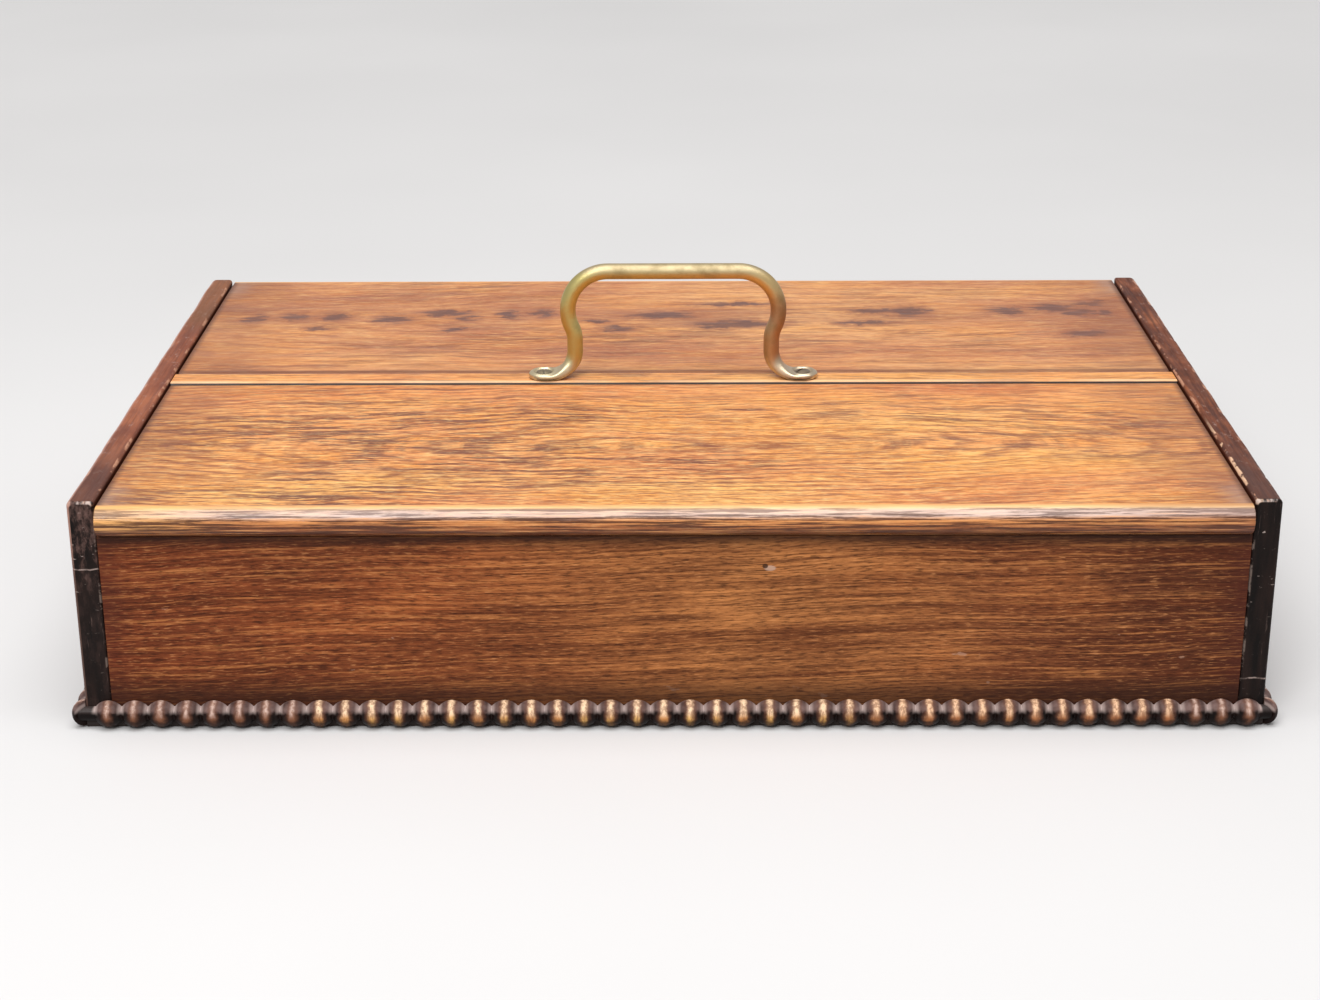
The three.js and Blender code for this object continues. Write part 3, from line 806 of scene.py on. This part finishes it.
def nosing_colour(p, outward, seed):
    """Lays the nosing with its painted shade, sheen and highlight, dark lines and pale threads, and
    gives where it is.
    """
    nosing = p.span(outward, 139.8, 141.4)
    patches = p.step(p.noise((16, 60, 60), seed + 20), 0.3, 0.65, 0.95, 0.7)
    p.colour = p.mix(p.product(nosing, patches), p.colour, nosing_tones_with_painted_light(p))
    p.lay((240, 182, 108), nosing, p.span(p.x, -150, -195), p.span(p.z, 75.5, 78.5), 0.6)
    p.lay((120, 66, 42), nosing, p.span(p.x, 120, 190), 0.35)
    threads = p.noise((30, 600, 1300), seed + 21, detail=5, roughness=0.72)
    below = p.span(p.z, 83.4, 81.2, 0.7, 1)
    crown = p.span(p.z, 84.3, 83.8)
    p.lay((70, 32, 16), nosing, below, crown, p.step(threads, 0.46, 0.55), 0.9)
    # Pale threads: pale fibres lower down, whitening into a painted sheen near the crown
    light = p.product(nosing, crown, p.step(threads, 0.44, 0.34), 0.6)
    pale = p.mix(below, rgb(255, 240, 226), rgb(240, 170, 106))
    p.colour = p.mix(light, p.colour, pale)
    return nosing


def knot_colour(p, seed):
    """Dark knots with soft, ragged edges in a row of browner wood."""
    wander = p.swing((150, 170, 170), seed + 30, detail=4, roughness=0.65)
    drawn = p.swing((25, 420, 420), seed + 33, roughness=0.6)
    x = p.plus(p.x, p.plus(p.product(wander, 18 * MM), p.product(drawn, 18 * MM)))
    y = p.plus(p.y, p.product(wander, 14 * MM))
    place = p.vector(x, y, 0.0)
    dark = 0.0
    for knot in KNOTS:
        dark = p.larger(dark, p.step(p.far(place, *knot), 2.6, 0.2))
    fibres = p.noise((60, 1500, 1500), seed + 35, detail=2)
    dark = p.minus(dark, p.step(fibres, 0.35, 0.65, 0, 0.22))
    row = p.span(p.size(p.minus(y, KNOT_ROW)), 24, 6, 0, 0.3)
    p.lay((140, 84, 60), row, p.step(drawn, -0.2, 0.1))
    p.lay((150, 90, 62), p.step(dark, 0.0, 0.5, 0, 0.5))
    p.lay((92, 62, 58), p.step(dark, 0.48, 0.88, 0, 0.85))


def lid_ends(p, outward, seed):
    """Browner wood towards the ends of a lid, with dust in its outer corners."""
    from_middle = p.size(p.x)
    patches = p.step(p.noise((40, 60, 60), seed + 34), 0.3, 0.6, 0.2, 0.55)
    p.lay((136, 82, 54), p.span(from_middle, 150, 199), patches)
    mottled = p.step(p.noise((160, 160, 160), seed + 31), 0.3, 0.6, 0.3, 0.65)
    p.lay((160, 130, 116), p.span(from_middle, 186, 199), p.span(outward, 112, 130), mottled)
    p.lay((84, 50, 36), p.span(from_middle, 196.5, 199.5, 0, 0.75))


def lid_oak(name, side, seed, strength, calm, knotty=False, **figure):
    """The oak of a lid.

    Its figure fades from the nosing to the hinges, between the two strengths. It also fades
    towards the right end, where calm is the share that is left.
    """
    p = Paint(name, gloss=0.32, coat=0.06, coat_roughness=0.25)
    outward = p.product(p.y, side)
    fade = p.product(p.span(outward, 12, 55, *strength), p.span(p.x, 0, 140, 1, calm))
    height = oak_colour(p, strength=fade, side=side, seed=seed, **figure)
    if knotty:
        knot_colour(p, seed)
    lid_ends(p, outward, seed)
    nosing = nosing_colour(p, outward, seed)
    painted_seam_shade(p)
    p.bump(height, 0.22 * MM)
    dull = p.step(p.noise((60, 300, 300), seed + 32), 0.35, 0.65, 0.42, 0.55)
    return p.done(p.minus(dull, p.product(nosing, 0.15)))


def rail_oak():
    """The oak of the rail, with a painted highlight along its front arris."""
    p = Paint("rail_oak", gloss=0.32, coat=0.06, coat_roughness=0.25)
    height = oak_colour(
        p, tones=GOLDEN, strength=0.5, side=1, middle=60 * MM, depth=20 * MM, bow=0.1, centre=0.0,
        spacing=3.2 * MM, sway=6 * MM, blotch=(24, 260, 260), seed=17,
    )
    # A pale line along the front arris: a painted highlight
    arris_highlight = p.step(p.noise((24, 24, 24), 90), 0.3, 0.6, 0.15, 0.6)
    p.lay((255, 214, 170), p.span(p.y, -3.4, -4.6), arris_highlight)
    painted_seam_shade(p)
    p.bump(height, 0.2 * MM)
    return p.done(p.step(p.noise((60, 300, 300), 91), 0.35, 0.65, 0.4, 0.52))


# Stained and plain boards

def plain_colour(p, seed):
    """Unpolished wood that has darkened with age."""
    fibres = p.noise((30, 700, 700), seed, detail=4, roughness=0.6)
    large = p.noise((7, 30, 30), seed + 1, detail=2)
    p.colour = p.ramp(large, (0.3, 168, 128, 86), (0.7, 196, 156, 110))
    p.lay((122, 86, 54), p.step(fibres, 0.45, 0.7, 0, 0.55))


def stain_ground(p, clouds):
    """A red-brown stain, faded golden right of the middle and dark at the ends."""
    p.colour = p.ramp(
        p.plus(p.product(p.x, 2.4), 0.5),
        (0.0, 118, 54, 28), (0.3, 150, 80, 42), (0.56, 192, 124, 70),
        (0.78, 130, 74, 42), (1.0, 62, 27, 17),
    )
    p.lay((96, 48, 26), p.step(clouds, 0.42, 0.64, 0, 0.5))
    p.lay((200, 118, 62), p.step(clouds, 0.46, 0.3, 0, 0.35))


def stain_grain(p, grain, pores):
    """Streaks, threads and pores, fine and close, darker and paler than the ground."""
    streaks = p.noise((9, 160, 210), 22, detail=4, roughness=0.6, place=grain)
    p.lay((98, 46, 22), p.step(streaks, 0.46, 0.64, 0, 0.55))
    threads = p.noise((24, 950, 1200), 26, detail=4, roughness=0.65, place=grain)
    p.lay((68, 29, 12), p.step(threads, 0.48, 0.64, 0, 0.6))
    p.lay((212, 138, 78), p.step(threads, 0.48, 0.35, 0, 0.45))
    p.lay((44, 18, 8), p.step(pores, 0.5, 0.64, 0, 0.65))
    p.lay((226, 156, 98), p.step(pores, 0.44, 0.3, 0, 0.4))


def panel_marks(p, clouds):
    """Dark ends, scuffs, a nail hole in its dent, painted shadow and dirt at the top under the
    nosing, and dirt at the foot.
    """
    p.lay((72, 30, 22), p.span(p.size(p.x), 188, 200, 0, 0.5), p.step(clouds, 0.3, 0.6, 0.4, 1))
    scuffs = p.noise((90, 90, 160), 28, detail=4)
    p.lay((180, 140, 118), p.step(scuffs, 0.715, 0.75), 0.5)
    face = p.vector(p.x, p.z, 0.0)
    front = p.span(p.y, 0, -10)
    dent = p.step(p.far(face, *DENT), 1.1, 0.7, 0, 0.7)
    p.lay((196, 164, 146), dent, front)
    hole = p.step(p.far(face, *DENT_HOLE), 1.1, 0.7, 0, 0.85)
    p.lay((40, 22, 15), hole, front)
    # Darker under the nosing, a painted shadow with dirt, and darker at the foot with dirt
    shadow_and_dirt = p.larger(p.span(p.z, 67.2, 72.2, 0, 0.75), p.span(p.z, 22, 11, 0, 0.75))
    p.lay((44, 23, 15), shadow_and_dirt)


def stained_panel():
    """Fine-grained board with a dark stain outside, and plain inside."""
    p = Paint("stained_panel", gloss=0.12)
    wave = p.swing((6, 6, 14), 27, detail=2)
    slope = p.product(p.x, -0.035)
    height = p.plus(p.plus(p.z, slope), p.product(wave, 12 * MM))
    grain = p.vector(p.x, p.y, height)
    clouds = p.noise((16, 16, 34), 24, detail=4, roughness=0.55, place=grain)
    pores = p.noise((220, 2000, 2000), 21, roughness=0.6, place=grain)
    stain_ground(p, clouds)
    stain_grain(p, grain, pores)
    panel_marks(p, clouds)
    p.cover(p.span(p.size(p.y), 134.5, 132.5), plain_colour, 23)
    p.bump(p.minus(1.0, pores), 0.15 * MM)
    return p.done(p.step(pores, 0.3, 0.7, 0.42, 0.56))


def end_top_colour(p):
    """The top edge of an end panel: brown where hands have rubbed it, dull towards the front."""
    p.colour = p.ramp(
        p.noise((60, 34, 40), 33, detail=5, roughness=0.62),
        (0.3, 66, 34, 24), (0.5, 118, 64, 40), (0.7, 164, 100, 66),
    )
    streaks = p.step(p.noise((700, 26, 700), 37, detail=4, roughness=0.6), 0.42, 0.62, 0, 0.6)
    p.lay((56, 28, 22), streaks)
    left = p.span(p.x, 0, -10)
    p.lay((156, 92, 72), left, 0.35)
    flecks = p.noise((520, 260, 520), 46, detail=4, roughness=0.7)
    p.lay((176, 144, 132), p.step(flecks, 0.58, 0.68, 0, 0.5))
    p.lay((132, 92, 62), left, p.span(p.y, 50, 85, 0, 0.5))
    p.lay((76, 52, 46), p.span(p.y, -60, -125, 0, 0.7))


def end_scratches(p):
    """Fine pale scratches and nicks, and dust on the left panel."""
    scratches = p.noise((700, 700, 60), 38, detail=4, roughness=0.7)
    p.lay((116, 96, 90), p.step(scratches, 0.62, 0.72, 0, 0.4))
    nicks = p.noise((300, 300, 900), 39, detail=4, roughness=0.65)
    high = p.span(p.z, 40, 65, 0.15, 1)
    p.lay((176, 160, 152), p.step(nicks, 0.66, 0.7), high, 0.8)
    dusty = p.product(p.span(p.x, 0, -10), p.span(p.z, 45, 74, 0.1, 0.9))
    mottled = p.step(p.noise((260, 260, 110), 47, detail=5, roughness=0.7), 0.44, 0.66, 0, 0.6)
    p.lay((134, 102, 94), dusty, mottled)


def end_front_colour(p):
    """The black front edge of an end panel, with one long scratch across it."""
    shades = p.noise((260, 260, 40), 34, detail=4)
    p.colour = p.ramp(shades, (0.35, 13, 8, 7), (0.75, 38, 25, 21))
    end_scratches(p)
    wave = p.product(p.noise((160, 160, 20), 29, detail=2), 2.2 * MM)
    height = p.plus(p.z, wave)
    scratch = p.span(p.x, -10, 10, LEFT_SCRATCH, RIGHT_SCRATCH)
    near = p.span(p.size(p.minus(height, scratch)), 0.4, 0.1)
    broken = p.step(p.noise((500, 500, 500), 45, detail=2), 0.35, 0.55, 0.15, 0.75)
    p.lay((170, 150, 142), near, broken)


def worn_arrises(p, ends):
    """Bare and chipped wood along the arrises of an end panel, with pale wear and a painted highlight
    on the front and inner top arrises.
    """
    from_middle = p.size(p.x)
    arris = p.step(p.attribute("arris"), 0.2, 0.7)
    bare = p.step(p.noise((190, 90, 160), 35, detail=5, roughness=0.65), 0.52, 0.6)
    high = p.span(p.z, 83.8, 85)
    p.lay((196, 144, 116), arris, bare, high, 0.85)
    inner = p.product(p.span(p.x, 203.4, 202.2), p.span(p.x, 0, 10))
    chips = p.step(p.noise((140, 70, 140), 48, detail=4, roughness=0.6), 0.47, 0.52)
    chips = p.product(arris, inner, chips, high, p.span(p.y, -50, -80))
    p.lay((232, 190, 156), chips, 0.9)
    # Pale front top arris: partly wear, partly a painted highlight
    crest_wear_and_highlight = p.step(p.noise((420, 90, 90), 30), 0.42, 0.56)
    crest_wear_and_highlight = p.product(arris, ends, high, crest_wear_and_highlight)
    p.lay((200, 182, 174), crest_wear_and_highlight, 0.8)
    outer = p.span(from_middle, 207.8, 209)
    left = p.product(p.span(p.x, 0, -10), p.span(p.z, 55, 78, 0.25, 1))
    p.lay((190, 144, 128), arris, outer, left, 0.7)
    # Greyish inner top arris: partly wear, partly a painted highlight
    inner_wear_and_highlight = p.product(arris, p.span(from_middle, 201.8, 201), bare)
    inner_wear_and_highlight = p.product(inner_wear_and_highlight, p.span(p.z, 83.8, 83), 0.5)
    p.lay((150, 132, 122), inner_wear_and_highlight)


def dark_end():
    """Dark-stained end panel with worn, pale arrises, plain inside."""
    p = Paint("dark_end", gloss=0.12)
    fibres = p.noise((900, 60, 700), 31, detail=4, roughness=0.65)
    clouds = p.noise((22, 16, 16), 32)
    p.colour = p.ramp(clouds, (0.3, 66, 30, 20), (0.7, 96, 46, 30))
    p.lay((34, 17, 13), p.step(fibres, 0.48, 0.66, 0, 0.6))
    p.cover(p.span(p.z, 84.2, 85.6), end_top_colour)
    ends = p.span(p.size(p.y), 139.6, 140.4)
    p.cover(ends, end_front_colour)
    worn_arrises(p, ends)
    within = p.product(p.span(p.z, 75.7, 73.7), p.span(p.size(p.y), 131.8, 131.2))
    inside = p.product(p.span(p.size(p.x), 202.2, 201.2), within)
    p.cover(inside, plain_colour, 36)
    p.bump(p.minus(1.0, fibres), 0.2 * MM)
    return p.done(p.step(fibres, 0.3, 0.7, 0.4, 0.55))


def plain_wood():
    """Plain wood, black on the outer edges of the base board."""
    p = Paint("plain_wood")
    plain_colour(p, 41)
    outside = p.larger(p.span(p.size(p.y), 140.2, 140.8), p.span(p.size(p.x), 209.2, 209.8))
    p.lay((34, 20, 15), outside)
    fibres = p.noise((30, 700, 700), 43, detail=4, roughness=0.6)
    p.bump(fibres, 0.2 * MM)
    return p.done(p.step(fibres, 0.3, 0.7, 0.65, 0.85))


# Beads and metal

def bead_ground(p, clouds, ragged, along):
    """Black wood with a painted sheen on top of the beads, and a painted pale sheen between them."""
    # The upper part of each bead, where the sheen is painted
    top = p.span(p.plus(p.z, p.product(ragged, 2.4 * MM)), 6.4, 8)
    dark = p.ramp(clouds, (0.3, 10, 6, 5), (0.7, 34, 19, 16))
    painted_sheen = p.ramp(clouds, (0.3, 64, 47, 44), (0.7, 126, 102, 97))
    p.colour = p.mix(top, dark, painted_sheen)
    # Painted pale sheen on the upper necks between the beads
    p.lay((190, 170, 164), p.step(along, 0.66, 0.98), p.span(p.z, 5.6, 7.4), 0.75)


def bare_tones(p, each, highlit_upper, dull):
    """Bare wood, with a painted highlight above, golden on the left, coppery on the right and dull at
    the ends.
    """
    copper = p.span(p.x, 40, 90, 0, 0.8)
    golden = p.ramp(each, (0.4, 236, 184, 108), (0.6, 208, 144, 84))
    golden = p.mix(copper, golden, rgb(164, 100, 64))
    lower = p.mix(dull, golden, rgb(128, 84, 62))
    # pale: the painted highlight on the upper part of the band
    pale = p.mix(copper, rgb(250, 214, 176), rgb(240, 194, 156))
    pale = p.mix(dull, pale, rgb(206, 176, 162))
    worn = p.step(p.noise((900, 900, 200), 52, detail=4, roughness=0.6), 0.42, 0.60, 0, 0.65)
    return p.mix(worn, p.mix(highlit_upper, lower, pale), rgb(130, 84, 58))


def bead_wood():
    """Black turned beads with a band worn bare round the middle of each; its upper part is a painted
    highlight, and it fades into painted shade towards the foot.
    """
    p = Paint("bead_wood", gloss=0.08, coat=0.04, coat_roughness=0.12)
    clouds = p.noise((160, 160, 160), 51, detail=4, roughness=0.6)
    ragged = p.swing((420, 420, 420), 53, detail=4, roughness=0.6)
    along = p.attribute("bead")
    number = p.vector(p.product(p.attribute("number"), 61.0), 0.0, 0.0)
    each = p.noise((1, 1, 1), 55, detail=0, place=number)
    bead_ground(p, clouds, ragged, along)
    dull = p.larger(p.span(p.x, -126, -136), p.span(p.x, 175, 183))
    # The upper part of each bead, where the band turns into a painted highlight
    highlit_upper = p.span(p.plus(p.z, p.product(ragged, 1.8 * MM)), 4.8, 7.6)
    half = p.step(highlit_upper, 0.0, 1.0, p.step(each, 0.35, 0.65, 0.2, 0.31), 0.18)
    half = p.minus(half, p.product(dull, 0.07))
    edge = p.minus(p.plus(half, p.product(ragged, 0.4)), along)
    # The band fades towards the foot of each bead: painted shade
    unshaded_reach = p.span(p.plus(p.z, p.product(ragged, 3 * MM)), 3, 5.4, 0.15, 0.95)
    p.lay((112, 72, 54), p.step(edge, -0.45, -0.05, 0, 0.7), unshaded_reach)
    band = p.product(p.step(edge, -0.2, 0.14), unshaded_reach)
    p.colour = p.mix(band, p.colour, bare_tones(p, each, highlit_upper, dull))
    p.lay((16, 10, 9), p.step(along, 1.02, 1.3, 0, 0.9))
    p.bump(clouds, 0.3 * MM)
    return p.done(p.step(clouds, 0.3, 0.7, 0.3, 0.45))


def brass():
    """Dull brass: pale on the feet, with a painted highlight along the top of the bar, olive on one
    leg and coppery on the other.
    """
    p = Paint("aged_brass", metallic=1.0)
    clouds = p.noise((90, 90, 90), 61, detail=4, roughness=0.6)
    p.colour = p.mix(p.span(p.x, -20, 30), rgb(196, 182, 118), rgb(202, 176, 124))
    p.lay((170, 132, 100), p.span(p.x, 30, 42), p.span(p.z, 125, 112))
    # The top of the bar, painted paler: a painted highlight
    bar = p.span(p.z, 126, 130.5)
    p.lay((184, 168, 132), bar)
    p.lay((122, 102, 62), p.step(clouds, 0.5, 0.75, 0, 0.5))
    from_middle = p.size(p.x)
    p.lay((212, 198, 170), p.span(p.z, 96, 89, 0, 0.75), p.span(from_middle, 100, 90))
    # Darker in the dish round each screw: painted shade
    from_screw = p.diagonal(p.minus(from_middle, SCREW_X), p.y)
    p.lay((112, 96, 80), p.span(from_screw, 3.8, 3), p.span(p.z, 100, 90), 0.7)
    p.bump(p.noise((700, 700, 700), 62), 0.06 * MM)
    return p.done(p.plus(p.step(clouds, 0.3, 0.7, 0.32, 0.5), p.product(bar, 0.14)))


def steel():
    """Old iron with some rust."""
    p = Paint("old_steel", metallic=1.0)
    clouds = p.noise((600, 600, 600), 71, detail=4)
    p.colour = p.ramp(clouds, (0.35, 70, 62, 56), (0.65, 110, 76, 52))
    p.bump(clouds, 0.1 * MM)
    return p.done(p.step(clouds, 0.35, 0.65, 0.45, 0.8))


PAINTS = {  # by material slot, but for the three oaks
    "front_oak": lid_oak(
        "front_lid_oak", side=-1, seed=1, tones=GOLDEN, strength=(0.6, 1.0), calm=0.75,
        middle=80 * MM, depth=16 * MM, bow=0.55, centre=-10 * MM,
        spacing=3.6 * MM, sway=16 * MM, blotch=(40, 210, 210),
    ),
    "back_oak": lid_oak(
        "back_lid_oak", side=1, seed=11, tones=RUSSET, strength=(0.4, 0.5), calm=1, knotty=True,
        middle=84 * MM, depth=22 * MM, bow=0.4, centre=50 * MM,
        spacing=6.5 * MM, sway=16 * MM, blotch=(26, 110, 110),
    ),
    "rail_oak": rail_oak(),
    "stained_wood": stained_panel(),
    "dark_wood": dark_end(),
    "plain_wood": plain_wood(),
    "bead_wood": bead_wood(),
    "aged_brass": brass(),
    "steel": steel(),
}


# The pieces

fasteners = [node for node in frame["nodes"] if fastener_kind(node)]
bores = joined("bores", [bore(node) for node in fasteners])


def add_board(node, along, radii, end_radius, slot, paint=None, seed=None, cutters=()):
    """A board where a CAD board is, with the holes for its fasteners."""
    low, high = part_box(node)
    scaled = [radius * MM for radius in radii]
    piece = board(f"{node}_worn", low, high, along, scaled, end_radius * MM, seed)
    for cutter in (bores, *cutters):
        carve(piece, cutter)
    level = piece.modifiers.new("normals", "WEIGHTED_NORMAL")  # flats up to the arrises
    level.keep_sharp = True
    finish(piece, node, slot, paint)


def partition_housing():
    """The space that the partition takes up in the end panels."""
    low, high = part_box("centre_partition")
    gap = Vector((GLUE_GAP,) * 3)
    sharp = 0.01 * MM
    return board("housing", low - gap, high + gap, 0, [sharp] * 4, sharp)


def add_boards():
    """All the boards, their radii in mm. The two inside ones keep their CAD shape."""
    housing = [partition_housing()]
    add_board("left_end_panel", 1, [2.2, 1.1, 0.4, 0.3], 1.2, "dark_wood", seed=1, cutters=housing)
    add_board("right_end_panel", 1, [1.1, 2.2, 0.4, 0.3], 1.2, "dark_wood", seed=2, cutters=housing)
    add_board("front_panel", 0, [0.4] * 4, 0.2, "stained_wood")
    add_board("back_panel", 0, [0.4] * 4, 0.2, "stained_wood")
    add_board("centre_rail", 0, [0.4, 1.5, 1.5, 0.4], 0.3, "oak", "rail_oak")
    add_board("front_lid", 0, [1.5, 1.5, 5.3, 5.3], 0.5, "oak", "front_oak")
    add_board("back_lid", 0, [5.3, 5.3, 1.5, 1.5], 0.5, "oak", "back_oak")
    bpy.data.objects.remove(housing[0])
    for node in ("base_board", "centre_partition"):
        frame["nodes"][node].data.materials.clear()
        frame["nodes"][node].data.materials.append(PAINTS["plain_wood"])


def add_beading():
    """The moulding on the four sides of the base board."""
    low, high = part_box("base_board")
    long_side = (high.x - low.x, LONG_MARGIN, LONG_SHIFT, high.y + GLUE_GAP)
    short_side = (high.y - low.y, SHORT_MARGIN, 0, high.x + GLUE_GAP)
    strips = [
        ("front_bead_strip", 0, long_side),
        ("right_bead_strip", math.pi / 2, short_side),
        ("back_bead_strip", math.pi, long_side),
        ("left_bead_strip", -math.pi / 2, short_side),
    ]
    for seed, (node, turn, side) in enumerate(strips):
        piece = bead_strip(node, turn, *side, seed)
        finish(piece, node, "bead_wood")


add_boards()
bpy.data.objects.remove(bores)
add_beading()
finish(bail(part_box("centre_rail")[1].z), "handle", "aged_brass")
add_fasteners(fasteners)


# Floor, light and camera

def add_floor():
    """A plain pale floor."""
    signs = ((-1, -1), (1, -1), (1, 1), (-1, 1))
    corners = [(x * FLOOR_HALF, y * FLOOR_HALF, 0) for x, y in signs]
    floor = make("floor", corners, [(0, 1, 2, 3)])
    floor.location.z = -FLOOR_DROP
    p = Paint("floor")
    clouds = p.noise((3, 3, 3), 81, detail=2)
    p.colour = p.ramp(clouds, (0.3, 216, 215, 215), (0.7, 221, 220, 220))
    floor.data.materials.append(p.done(0.9))


def add_lamp(name, place, aim, size, power):
    """A soft rectangular lamp."""
    lamp = bpy.data.lights.new(name, "AREA")
    lamp.shape = "RECTANGLE"
    lamp.size, lamp.size_y = size
    lamp.energy = power
    holder = add_object(name, lamp)
    holder.location = place
    holder.rotation_euler = (Vector(aim) - Vector(place)).to_track_quat("-Z", "Y").to_euler()


def add_sky(power, width, lean):
    """Even soft light from above, so that the whole floor is pale. Its angles are in degrees."""
    sky = bpy.data.lights.new("sky", "SUN")
    sky.energy = power
    sky.angle = math.radians(width)
    add_object("sky", sky).rotation_euler = (math.radians(lean), 0, 0)


def add_world():
    """Soft light from all round, which the camera and reflections see as a pale room."""
    world = bpy.data.worlds.new("room")
    world.use_nodes = True
    bpy.context.scene.world = world
    nodes, links = world.node_tree.nodes, world.node_tree.links
    light = nodes["Background"]
    light.inputs["Color"].default_value = rgb(255, 253, 250)
    light.inputs["Strength"].default_value = WORLD_STRENGTH
    seen = nodes.new("ShaderNodeBackground")
    seen.inputs["Color"].default_value = rgb(204, 203, 206)
    path = nodes.new("ShaderNodeLightPath")
    looks = path.outputs["Is Camera Ray"]
    for ray in ("Is Glossy Ray", "Is Transmission Ray"):
        either = nodes.new("ShaderNodeMath")
        either.operation = "MAXIMUM"
        links.new(looks, either.inputs[0])
        links.new(path.outputs[ray], either.inputs[1])
        looks = either.outputs[0]
    mix = nodes.new("ShaderNodeMixShader")
    links.new(looks, mix.inputs[0])
    links.new(light.outputs[0], mix.inputs[1])
    links.new(seen.outputs[0], mix.inputs[2])
    links.new(mix.outputs[0], nodes["World Output"].inputs["Surface"])


def add_camera():
    """The photograph's camera, solved from the straight edges of the box."""
    camera = add_object("camera", bpy.data.cameras.new("camera"))
    camera.data.lens = CAMERA_LENS
    camera.location = CAMERA_PLACE
    camera.rotation_euler = [math.radians(angle) for angle in CAMERA_TURN]
    bpy.context.scene.camera = camera


add_floor()
add_world()
add_sky(power=2, width=60, lean=14)
add_lamp("overhead", place=(0, -0.35, 1.25), aim=(0, -0.1, 0), size=(1.5, 0.25), power=3.5)
add_lamp("front", place=(-0.45, -1.35, 1.2), aim=(0, 0, 0.04), size=(0.7, 0.5), power=12)
add_camera()
bpy.context.scene.view_settings.view_transform = "Standard"
